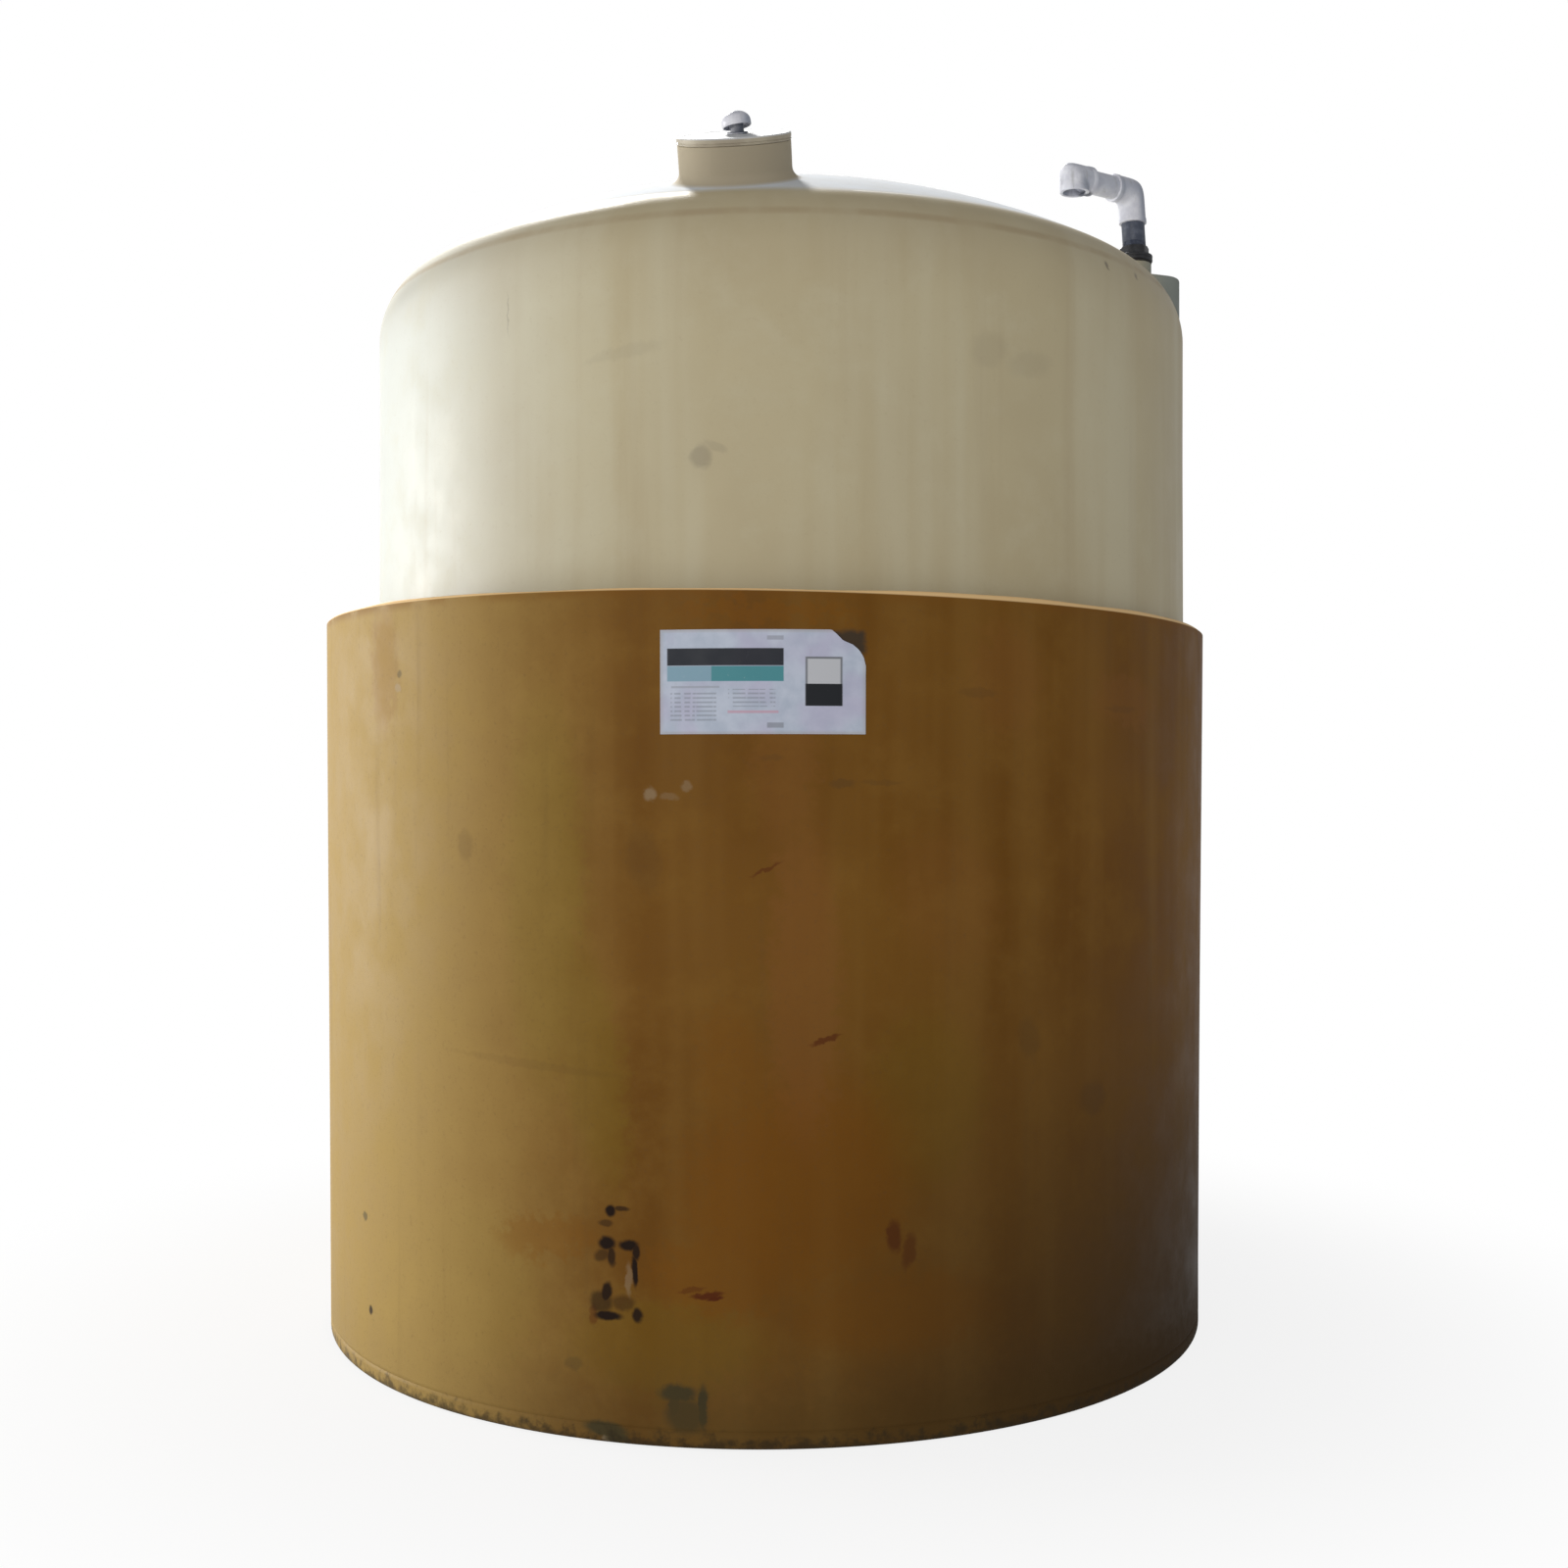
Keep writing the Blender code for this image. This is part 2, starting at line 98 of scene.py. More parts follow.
# Basin: sizes from the frame, and the finer forms of the moulding
basin_low, basin_high = span(*BASIN_WALLS)
BASIN_RIM_R = (basin_high.x - basin_low.x) / 2
BASIN_RIM_SLOPE = -0.0109
BASIN_HEIGHT = basin_high.z + BASIN_RIM_SLOPE * BASIN_RIM_R
BASIN_FOOT_R = 1.352
BASIN_WALL = 0.014
BASIN_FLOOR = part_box("basin_floor")[1].z
BASIN_FOOT_ROUND = 0.018
BASIN_INNER_ROUND = 0.020
RIM_ROUND = 0.0068
RIM_WOBBLE = 0.0022
FOOT_GROOVE_Z = 0.046
FOOT_GROOVE = 0.0030
FOOT_GROOVE_HALF = 0.007
BASIN_WAVE = 0.0035
BASIN_SETTLE = 0.2
BASIN_STEPS = 240

# Tank: sizes from the frame, and the finer forms of the moulding
tank_low, tank_high = span("tank_bottom", *TANK_WALLS)
TANK_X = (tank_low.x + tank_high.x) / 2
TANK_R = (tank_high.x - tank_low.x) / 2
TANK_FOOT_Z = tank_low.z
TANK_WALL = 0.014
TANK_FLOOR = 0.016
TANK_FOOT_ROUND = 0.014
SHOULDER_Z = tank_high.z
SHOULDER_R = 0.200
SHADE_LINE_Z = SHOULDER_Z + 0.092
CROWN_R = 2.375
TANK_WAVE = 0.0025
TANK_SETTLE = 0.4
DOME_DIP = 0.0030
TANK_STEPS = 240

# Lid, its neck and the mushroom vent on it. The neck stands square on the crown, so heights on
# it are measured from the crown's centre.
NECK_X = -0.0693
NECK_Y = -0.9815
NECK_R = 0.1515
NECK_WALL = 0.012
NECK_FILLET = 0.028
NECK_EDGE = 0.003
NECK_TOP = CROWN_R + 0.0917
LID_R = 0.1525
LID_LOW = CROWN_R + 0.092
LID_TOP = CROWN_R + 0.112
LID_PLUG = 0.015
LID_STEPS = 144
LID_RIBS = 8
LID_RIB_HEIGHT = 0.0012
LID_RIB_HALF = 0.007
CAP_OFFSET = 0.010
CAP_R = 0.039
CAP_LOW = CROWN_R + 0.129
CAP_HEIGHT = 0.040
CAP_LEAN_FRONT = math.radians(8)
CAP_LEAN_LEFT = math.radians(10)
CAP_STEM_R = 0.018

# Vent fitting and gooseneck
flange_low, flange_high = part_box("vent_flange")
VENT_X = (flange_low.x + flange_high.x) / 2
VENT_Y = (flange_low.y + flange_high.y) / 2
FLANGE_R = (flange_high.x - flange_low.x) / 2
BOSS_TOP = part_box("vent_boss")[1].z
BOSS_R = 0.053
BOSS_FILLET = 0.012
HEXAGON_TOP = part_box("vent_hexagon")[1].z
HEXAGON_FLAT_R = 0.082 / 2
HEXAGON_CORNER_R = HEXAGON_FLAT_R / math.cos(math.radians(30))
HEXAGON_STEPS = 72
NIPPLE_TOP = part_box("vent_nipple")[1].z
PIPE_R = 0.0365
PIPE_LEAN = math.tan(math.radians(3.6))
RUN_Z = 3.548
RUN_TURN = math.radians(212.5)
RUN_LENGTH = 0.243
UPPER_ELBOW_R = 0.0415
UPPER_BEND_R = 0.060
SOCKET = 0.020
HUB_PROUD = 0.0016
HUB_LENGTH = 0.015
OUTLET_ELBOW_R = 0.0455
OUTLET_BEND_R = 0.047
OUTLET_BORE_R = 0.035
HEEL_POWER = 5
OUTLET_HEEL_POWER = 7
ELBOW_STEPS = 24
ROUND_STEPS = 64

# Moulded flat that carries the vent fitting
PAD_TOP = 3.256
PAD_SLOPE = -0.12
PAD_INNER_X = 0.960
PAD_HALF_WIDTH = 0.120
PAD_CORNER_R = 0.045
PAD_FILLET = 0.022
PAD_EDGE = 0.010

# Label on the basin
label_low, label_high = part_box("label")
LABEL_Z = (label_low.z, label_high.z)
LABEL_SPAN = 0.510
LABEL_MIDDLE = 0.007
LABEL_LIFT = 0.0006
LABEL_SHEET = 0.0004
LABEL_COLUMNS = 96
LABEL_ROWS = 24
# Torn corner: distance in from the label's right edge, and how far its top edge is down there
LABEL_TEAR = [(0.086, 0.0), (0.074, 0.010), (0.057, 0.027), (0.034, 0.036), (0.018, 0.049),
              (0.006, 0.066), (0.0, 0.089)]
LABEL_CURL = 0.005
LABEL_CURL_REACH = 0.115

# Arcs in the materials are measured on this radius
MARK_R = 1.360


def ring(centre, radius, z, steps):
    """A level circle of points, or its centre alone where the radius is 0. z is a height, or a
    function of the point's place."""
    x0, y0 = centre
    if radius == 0:
        return [(x0, y0, z)]
    points = []
    for i in range(steps):
        turn = 2 * math.pi * i / steps
        x = x0 + radius * math.cos(turn)
        y = y0 + radius * math.sin(turn)
        points.append((x, y, z(x, y) if callable(z) else z))
    return points


def turned(outline, centre, steps):
    """The rings of a solid of revolution, from its outline in (radius, z)."""
    return [ring(centre, radius, z, steps) for radius, z in outline]


def arc(centre, radius, first, last, steps):
    """Points in a plane along an arc, from and to angles in degrees."""
    x0, y0 = centre
    turns = [math.radians(first + (last - first) * i / steps) for i in range(steps + 1)]
    return [(x0 + radius * math.cos(a), y0 + radius * math.sin(a)) for a in turns]


def fillet(radius, steps):
    """(outwards, upwards) offsets of a hollow quarter round, from its foot to its upright end."""
    turns = [math.radians(90) * (1 - i / steps) for i in range(steps + 1)]
    return [(radius * (1 - math.cos(a)), radius * (1 - math.sin(a))) for a in turns]


def blend(a, b, share):
    return a + (b - a) * share


def ease(share):
    return share * share * (3 - 2 * share)


def new_object(name, data):
    made = bpy.data.objects.new(name, data)
    bpy.context.scene.collection.objects.link(made)
    return made


def skin(name, rings, slot, *nodes, smooth=34):
    """A closed smooth body from rings of points, which rides on the fixed frame and stands for
    the named nodes. A ring of one point is a pole. An open end is filled with one face."""
    points = [point for row in rings for point in row]
    starts = []
    count = 0
    for row in rings:
        starts.append((count, len(row)))
        count += len(row)
    faces = []
    for (a, n), (b, m) in zip(starts, starts[1:]):
        for i in range(max(n, m)):
            corners = [a + i % n, a + (i + 1) % n, b + (i + 1) % m, b + i % m]
            faces.append(list(dict.fromkeys(corners)))
    for start, size in (starts[0], starts[-1]):
        if size > 2:
            faces.append(list(range(start, start + size)))
    mesh = bpy.data.meshes.new(name)
    mesh.from_pydata(points, [], faces)
    maker = bmesh.new()
    maker.from_mesh(mesh)
    bmesh.ops.recalc_face_normals(maker, faces=maker.faces)
    maker.to_mesh(mesh)
    maker.free()
    mesh.shade_smooth()
    mesh.set_sharp_from_angle(angle=math.radians(smooth))
    piece = new_object(name, mesh)
    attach(piece, "root")
    if nodes:
        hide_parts(*nodes)


# Geometry of the basin

def basin_radius(z):
    return blend(BASIN_FOOT_R, BASIN_RIM_R, z / BASIN_HEIGHT)


def basin_wave(bearing, z):
    """How far the moulded wall has sunk in from a true cone: long soft waves, never outwards."""
    tall = 0.5 + 0.5 * math.sin(3 * bearing + 0.9 + 1.1 * z)
    short = 0.5 + 0.5 * math.sin(7 * bearing - 1.4 * z) * math.cos(2.1 * z + 2 * bearing)
    return BASIN_WAVE * (0.65 * tall + 0.35 * short)


def rim_height(bearing):
    """The rim was cut by hand: out of level, with a slight wobble."""
    wobble = math.sin(5 * bearing + 0.4) + 0.6 * math.sin(11 * bearing + 2.0)
    wobble += 0.35 * math.sin(23 * bearing)
    return BASIN_HEIGHT + BASIN_RIM_SLOPE * BASIN_RIM_R * math.cos(bearing) + RIM_WOBBLE * wobble


def groove(z):
    """Depth of the faint moulded line above the foot."""
    reach = abs(z - FOOT_GROOVE_Z) / FOOT_GROOVE_HALF
    return FOOT_GROOVE * ease(max(0.0, 1.0 - reach))


def basin_section(bearing):
    """Points of the whole moulding at one bearing: underside, outside, rim, inside, floor."""
    rim = rim_height(bearing) - RIM_ROUND * 0.5
    foot = basin_radius(BASIN_FOOT_ROUND) - BASIN_FOOT_ROUND
    points = [(0.55 * foot, 0.0), (0.9 * foot, 0.0)]
    points += arc((foot, BASIN_FOOT_ROUND), BASIN_FOOT_ROUND, -90, 0, 7)
    low = BASIN_FOOT_ROUND
    fine = [low + 0.0035 * i for i in range(1, 13)]
    top = rim - RIM_ROUND
    wall = [blend(fine[-1], top, i / 58) for i in range(1, 59)]
    for z in fine + wall:
        settle = min(1.0, (z - low) / BASIN_SETTLE)
        points.append((basin_radius(z) - groove(z) - settle * basin_wave(bearing, z), z))
    outer = points[-1][0]
    points += arc((outer - RIM_ROUND, top), RIM_ROUND, 18, 90, 4)
    points += arc((outer - BASIN_WALL + RIM_ROUND, top), RIM_ROUND, 90, 180, 4)
    inner_low = BASIN_FLOOR + BASIN_INNER_ROUND
    for i in range(1, 31):
        z = blend(top, inner_low, i / 30)
        points.append((basin_radius(z) - BASIN_WALL - basin_wave(bearing, z), z))
    corner = points[-1][0]
    points += arc((corner - BASIN_INNER_ROUND, inner_low), BASIN_INNER_ROUND, -15, -90, 5)
    points.append((0.6 * foot, BASIN_FLOOR))
    return points


def make_basin():
    sections = []
    for i in range(BASIN_STEPS):
        bearing = 2 * math.pi * i / BASIN_STEPS
        sections.append([(r * math.cos(bearing), r * math.sin(bearing), z)
                         for r, z in basin_section(bearing)])
    rings = [[(0.0, 0.0, 0.0)]]
    rings += [[section[row] for section in sections] for row in range(len(sections[0]))]
    rings += [[(0.0, 0.0, BASIN_FLOOR)]]
    skin("basin_shell", rings, "basin_plastic", "basin_floor", *BASIN_WALLS)


# Geometry of the tank

def shoulder_turn():
    """Angle from the vertical at which the rounded shoulder meets the crown."""
    return math.asin((TANK_R - SHOULDER_R) / (CROWN_R - SHOULDER_R))


CROWN_Z = SHOULDER_Z - (CROWN_R - SHOULDER_R) * math.cos(shoulder_turn())


def dome_height(x, y):
    across = math.hypot(x - TANK_X, y)
    if across <= CROWN_R * math.sin(shoulder_turn()):
        return CROWN_Z + math.sqrt(CROWN_R ** 2 - across ** 2)
    reach = across - (TANK_R - SHOULDER_R)
    return SHOULDER_Z + math.sqrt(max(SHOULDER_R ** 2 - reach ** 2, 0.0))


def dome_dip(x, y):
    """Slight sinking of the moulded dome between its stiffer shoulder and neck."""
    across = math.hypot(x - TANK_X, y) / TANK_R
    soft = 0.5 + 0.5 * math.sin(5.1 * x + 1.2) * math.sin(4.3 * y - 0.4)
    return DOME_DIP * soft * max(0.0, 1 - across) ** 0.5


def wall_ring(z):
    points = []
    for i in range(TANK_STEPS):
        turn = 2 * math.pi * i / TANK_STEPS
        wave = 0.5 + 0.5 * math.sin(4 * turn + 0.7 + 1.3 * z) * math.cos(1.7 * z + 3 * turn)
        radius = TANK_R - TANK_WAVE * wave * min(1.0, (SHOULDER_Z - z) / TANK_SETTLE)
        points.append((TANK_X + radius * math.cos(turn), radius * math.sin(turn), z))
    return points


CROWN_MIDDLE = Vector((TANK_X, 0.0, CROWN_Z))
NECK_AXIS = Vector((NECK_X, NECK_Y, dome_height(NECK_X, NECK_Y))) - CROWN_MIDDLE
NECK_LEAN = Vector((0, 0, 1)).rotation_difference(NECK_AXIS)


def leaning(points, share=1.0):
    """Points about an upright axis, carried to the crown's centre and leant towards the neck."""
    turn = Quaternion().slerp(NECK_LEAN, share)
    return [tuple(CROWN_MIDDLE + turn @ Vector(point)) for point in points]


def on_neck(outline, steps, offset=0.0):
    """Rings of a (radius, height) outline about the neck's axis, or an offset beside it."""
    return [leaning(row) for row in turned(outline, (offset, 0.0), steps)]


def nested_rings(inner_r, steps, proud):
    """Circles on the crown that shrink from its edge to one round the neck."""
    size = CROWN_R + proud
    rings = []
    for i in range(1, steps + 1):
        share = i / steps
        reach = blend(shoulder_turn(), math.asin(inner_r / size), share)
        upright = ring((0.0, 0.0), size * math.sin(reach), size * math.cos(reach), TANK_STEPS)
        rings.append([(x, y, z - (1 - share) * dome_dip(x, y)) for x, y, z in leaning(upright, share)])
    return rings


def skin_height(radius, proud=0.0):
    """Height of the dome's skin at a distance from the neck's axis."""
    return math.sqrt((CROWN_R + proud) ** 2 - radius ** 2)


def neck_rings():
    """The neck flares out of the dome, rises to its top edge and goes down again inside."""
    outline = []
    for out, up in fillet(NECK_FILLET, 9)[1:]:
        outline.append((NECK_R + out, skin_height(NECK_R + out) + up))
    foot = outline[-1][1]
    top = NECK_TOP - NECK_EDGE
    outline += [(NECK_R, blend(foot, top, i / 8)) for i in range(1, 8)]
    inner = NECK_R - NECK_WALL
    outline += arc((NECK_R - NECK_EDGE, top), NECK_EDGE, 0, 90, 4) + [(inner, NECK_TOP)]
    inside = skin_height(inner, -TANK_WALL)
    outline += [(inner, blend(NECK_TOP, inside, share)) for share in (0.35, 0.7, 1.0)]
    return on_neck(outline, TANK_STEPS)


def make_tank():
    centre = (TANK_X, 0.0)
    low = TANK_FOOT_Z + TANK_FOOT_ROUND
    profile = [(share * TANK_R, TANK_FOOT_Z) for share in (0, 0.5, 0.9)]
    profile += arc((TANK_R - TANK_FOOT_ROUND, low), TANK_FOOT_ROUND, -90, 0, 5)
    rings = turned(profile, centre, TANK_STEPS)
    rings += [wall_ring(blend(low, SHOULDER_Z, i / 64)) for i in range(1, 65)]
    meet = 90 - math.degrees(shoulder_turn())
    shoulder = arc((TANK_R - SHOULDER_R, SHOULDER_Z), SHOULDER_R, 0, meet, 16)[1:]
    rings += turned(shoulder, centre, TANK_STEPS)
    rings += nested_rings(NECK_R + NECK_FILLET, 54, 0.0)
    rings += neck_rings()
    rings += nested_rings(NECK_R - NECK_WALL, 16, -TANK_WALL)[-2::-1]
    profile = arc((TANK_R - SHOULDER_R, SHOULDER_Z), SHOULDER_R - TANK_WALL, meet, 0, 6)
    floor = TANK_FOOT_Z + TANK_FLOOR
    inner = TANK_R - TANK_WALL - TANK_WAVE
    profile += [(inner, blend(SHOULDER_Z, floor, i / 12)) for i in range(1, 13)]
    profile += [(0.5 * inner, floor), (0, floor)]
    rings += turned(profile, centre, TANK_STEPS)
    skin("tank_shell", rings, "tank_plastic", "tank_bottom", "tank_dome", "lid_neck", *TANK_WALLS)


# Geometry of the vent's flat and boss

def pad_height(x):
    return PAD_TOP + PAD_SLOPE * (x - VENT_X)


def pad_outline(grow):
    """The flat's plan, grown or shrunk, kept within the tank's wall."""
    half = PAD_HALF_WIDTH + grow
    radius = PAD_CORNER_R + grow
    inner_x = TANK_X + PAD_INNER_X - grow
    reach = math.sqrt(TANK_R ** 2 - (half - radius) ** 2)
    outer_x = TANK_X + min(reach + grow, TANK_R) - radius
    corners = [(outer_x, half - radius, 0), (inner_x + radius, half - radius, 90),
               (inner_x + radius, radius - half, 180), (outer_x, radius - half, 270)]
    plan = []
    for x, y, first in corners:
        plan += arc((x, y), radius, first, first + 90, 8)
    dense = []
    for (x1, y1), (x2, y2) in zip(plan, plan[1:] + plan[:1]):
        pieces = 10 if math.hypot(x2 - x1, y2 - y1) > 0.05 else 1
        dense += [(blend(x1, x2, i / pieces), blend(y1, y2, i / pieces)) for i in range(pieces)]
    kept = []
    limit = TANK_R - 0.0006 + min(grow, 0.0)
    for x, y in dense:
        y += VENT_Y
        across = math.hypot(x - TANK_X, y)
        pull = min(1.0, limit / across)
        kept.append((TANK_X + (x - TANK_X) * pull, y * pull))
    return kept


def make_pad():
    def foot(x, y, lift):
        return min(dome_height(x, y) + lift, pad_height(x) - 0.0005)

    middle = (TANK_X + PAD_INNER_X + 0.15, VENT_Y)
    rings = [[(*middle, SHOULDER_Z - 0.02)]]
    rings.append([(x, y, foot(x, y, -0.012)) for x, y in pad_outline(PAD_FILLET)])
    for grow, up in fillet(PAD_FILLET, 6):
        rings.append([(x, y, foot(x, y, up - 0.0008)) for x, y in pad_outline(grow)])
    for share in (0.25, 0.5, 0.75, 1.0):
        row = []
        for x, y in pad_outline(0.0):
            low = foot(x, y, PAD_FILLET)
            row.append((x, y, max(low, blend(low, pad_height(x) - PAD_EDGE, share))))
        rings.append(row)
    for shrink, drop in fillet(PAD_EDGE, 5)[-2::-1]:
        rings.append([(x, y, pad_height(x) - drop) for x, y in pad_outline(-shrink)])
    edge = pad_outline(-PAD_EDGE)
    for share in (0.2, 0.45, 0.75):
        rings.append([(blend(x, middle[0], share), blend(y, middle[1], share),
                       pad_height(blend(x, middle[0], share))) for x, y in edge])
    rings.append([(*middle, pad_height(middle[0]))])
    skin("moulded_flat", rings, "tank_plastic", "fitting_pad")


def make_boss():
    centre = (VENT_X, VENT_Y)
    rings = [[(*centre, pad_height(VENT_X) - 0.006)]]
    for out, up in [(BOSS_FILLET, -0.003)] + fillet(BOSS_FILLET, 6):
        rings.append(ring(centre, BOSS_R + out, lambda x, y, up=up: pad_height(x) + up, ROUND_STEPS))
    edge = arc((BOSS_R - 0.004, BOSS_TOP - 0.004), 0.004, 0, 90, 4) + [(0, BOSS_TOP)]
    rings += turned(edge, centre, ROUND_STEPS)
    skin("moulded_boss", rings, "tank_plastic", "vent_boss")


# Geometry of the lid and the mushroom vent

def lid_rib(x, y, share, height):
    """Height of the lid's top with its low radial ribs."""
    off = abs(math.remainder(math.atan2(y, x), 2 * math.pi / LID_RIBS)) * math.hypot(x, y)
    return height + LID_RIB_HEIGHT * ease(max(0.0, 1 - off / LID_RIB_HALF)) * share


def make_lid():
    plug_r = NECK_R - NECK_WALL - 0.002
    low = LID_LOW
    outline = [(share * plug_r, low - LID_PLUG) for share in (0, 0.6, 1)] + [(plug_r, low)]
    outline += [(LID_R - 0.002, low), (LID_R, low + 0.002), (LID_R, low + 0.004)]
    outline += [(LID_R - 0.0018, low + 0.0052), (LID_R - 0.0018, low + 0.0068), (LID_R, low + 0.008)]
    outline += arc((LID_R - 0.004, LID_TOP - 0.004), 0.004, 0, 90, 5)
    outline += [(LID_R - 0.012, LID_TOP), (LID_R - 0.016, LID_TOP - 0.0008)]
    rings = on_neck(outline, LID_STEPS)
    recess = LID_TOP - 0.0016
    for radius, ribbed in ((0.132, 0.0), (0.128, 0.6), (0.120, 1.0), (0.100, 1.0), (0.082, 1.0),
                           (0.066, 1.0), (0.058, 0.5)):
        upright = ring((0.0, 0.0), radius,
                       lambda x, y, ribbed=ribbed: lid_rib(x, y, ribbed, recess), LID_STEPS)
        rings.append(leaning(upright))
    middle = [(0.054, recess + 0.0004), (0.050, LID_TOP - 0.0004), (0.046, LID_TOP), (0.02, LID_TOP),
              (0, LID_TOP)]
    rings += on_neck(middle, LID_STEPS)
    skin("lid_disc", rings, "lid_plastic", "lid", smooth=40)


def make_mushroom():
    """The vent on the lid. Its short stem is bent, so that its cap sits nearly level."""
    foot = Vector(leaning([(CAP_OFFSET, 0.0, CAP_LOW)])[0])
    axis = Vector((-math.tan(CAP_LEAN_LEFT), -math.tan(CAP_LEAN_FRONT), 1))
    level = Matrix.Translation(foot) @ Vector((0, 0, 1)).rotation_difference(axis).to_matrix().to_4x4()

    def on_cap(outline):
        return [[tuple(level @ Vector(point)) for point in row]
                for row in turned(outline, (0, 0), ROUND_STEPS)]

    low = LID_TOP + 0.0003
    flange = [(0, low), (0.0272, low), (0.028, low + 0.001), (0.028, low + 0.003), (0.0268, low + 0.004)]
    flange += [(CAP_STEM_R + 0.002, low + 0.0042), (CAP_STEM_R, low + 0.0055)]
    rings = on_neck(flange, ROUND_STEPS, CAP_OFFSET)
    rings += on_cap([(CAP_STEM_R, -0.003), (CAP_STEM_R, 0.008), (0, 0.008)])
    skin("mushroom_stem", rings, "vent_white", "lid_vent_stem")

    cap = [(0, 0.010), (CAP_R - 0.009, 0.010), (CAP_R - 0.0045, 0.008), (CAP_R - 0.004, 0.0015)]
    cap += [(CAP_R - 0.0025, 0.0), (CAP_R - 0.001, 0.0005), (CAP_R, 0.003), (CAP_R, 0.012)]
    for i in range(1, 14):
        turn = math.radians(90) * i / 14
        cap.append((CAP_R * math.cos(turn) ** 0.92, 0.012 + (CAP_HEIGHT - 0.012) * math.sin(turn)))
    skin("mushroom_cap", on_cap(cap + [(0, CAP_HEIGHT)]), "vent_white", "lid_vent_cap")


# Geometry of the vent fitting and gooseneck

def make_fitting():
    centre = (VENT_X, VENT_Y)
    low, high = flange_low.z, flange_high.z
    outline = [(0, low), (FLANGE_R - 0.002, low)]
    outline += [(FLANGE_R, low + 0.002), (FLANGE_R, low + 0.008), (FLANGE_R - 0.0015, low + 0.0095)]
    outline += [(FLANGE_R - 0.0015, low + 0.012), (FLANGE_R, low + 0.0135)]
    outline += arc((FLANGE_R - 0.004, high - 0.004), 0.004, 0, 90, 4)
    outline += [(FLANGE_R - 0.014, high), (FLANGE_R - 0.016, high - 0.0015), (0.03, high - 0.0015)]
    outline += [(0, high - 0.0015)]
    skin("bulkhead_flange", turned(outline, centre, ROUND_STEPS), "fitting_black", "vent_flange")

    rings = []
    levels = [(0.0032, high - 0.001), (0.0, high + 0.0022), (0.0, HEXAGON_TOP - 0.0035),
              (0.0040, HEXAGON_TOP)]
    for cut_back, z in levels:
        row = []
        for i in range(HEXAGON_STEPS):
            turn = 2 * math.pi * i / HEXAGON_STEPS
            off = abs(math.remainder(turn, math.radians(60)))
            flat = HEXAGON_FLAT_R / math.cos(math.radians(30) - off)
            radius = min(flat, HEXAGON_CORNER_R - 0.0012 - cut_back)
            row.append((VENT_X + radius * math.cos(turn), VENT_Y + radius * math.sin(turn), z))
        rings.append(row)
    skin("hexagon_nut", rings, "fitting_black", "vent_hexagon", smooth=25)

    nipple = [(PIPE_R - 0.001, HEXAGON_TOP - 0.002)]
    for i in range(5):
        z = HEXAGON_TOP + 0.0006 + 0.0032 * i
        nipple += [(PIPE_R - 0.0012, z), (PIPE_R + 0.0002, z + 0.0012), (PIPE_R + 0.0002, z + 0.0018),
                   (PIPE_R - 0.0012, z + 0.003)]
    nipple += [(PIPE_R, HEXAGON_TOP + 0.019), (PIPE_R, NIPPLE_TOP - 0.004)]
    nipple += [(PIPE_R, NIPPLE_TOP + 0.001)]
    rings = [upright_ring(z, radius) for radius, z in nipple]
    skin("pipe_nipple", rings, "nipple_slate", "vent_nipple")


RUN_DX = math.cos(RUN_TURN)
RUN_DY = math.sin(RUN_TURN)


def pipe_ring(centre, level, lift, radius_out, radius_side):
    """A pipe's ring. Its outer side points level along the run and lift upwards."""
    row = []
    for i in range(ROUND_STEPS):
        turn = 2 * math.pi * i / ROUND_STEPS
        out = radius_out * math.cos(turn)
        side = radius_side * math.sin(turn)
        row.append((centre[0] + out * level * RUN_DX - side * RUN_DY - PIPE_LEAN * out * lift,
                    centre[1] + out * level * RUN_DY + side * RUN_DX,
                    centre[2] + out * lift))
    return row


def run_place(distance, z):
    """A point above the line of the level run, with the gooseneck's lean to the left."""
    return (VENT_X + distance * RUN_DX - PIPE_LEAN * (z - HEXAGON_TOP), VENT_Y + distance * RUN_DY, z)


def elbow_reach(turn, bend, radius, power):
    """An elbow's middle line and half width at a turn. A high power makes the heel square."""
    heel = (math.cos(turn) ** power + math.sin(turn) ** power) ** (1 / power)
    outer = (bend + radius) / heel
    inner = bend - radius
    return (outer + inner) / 2, (outer - inner) / 2


def level_ring(distance, radius):
    return pipe_ring(run_place(distance, RUN_Z), 0.0, 1.0, radius, radius)


def upright_ring(z, radius):
    return pipe_ring(run_place(0, z), -1.0, 0.0, radius, radius)


def hub_steps(reach):
    """(distance, extra radius) points of a socket hub from its open end to the elbow's body."""
    return [(0.0, -0.0012), (0.0015, HUB_PROUD), (HUB_LENGTH, HUB_PROUD), (HUB_LENGTH + 0.004, 0.0),
            (reach, 0.0)]


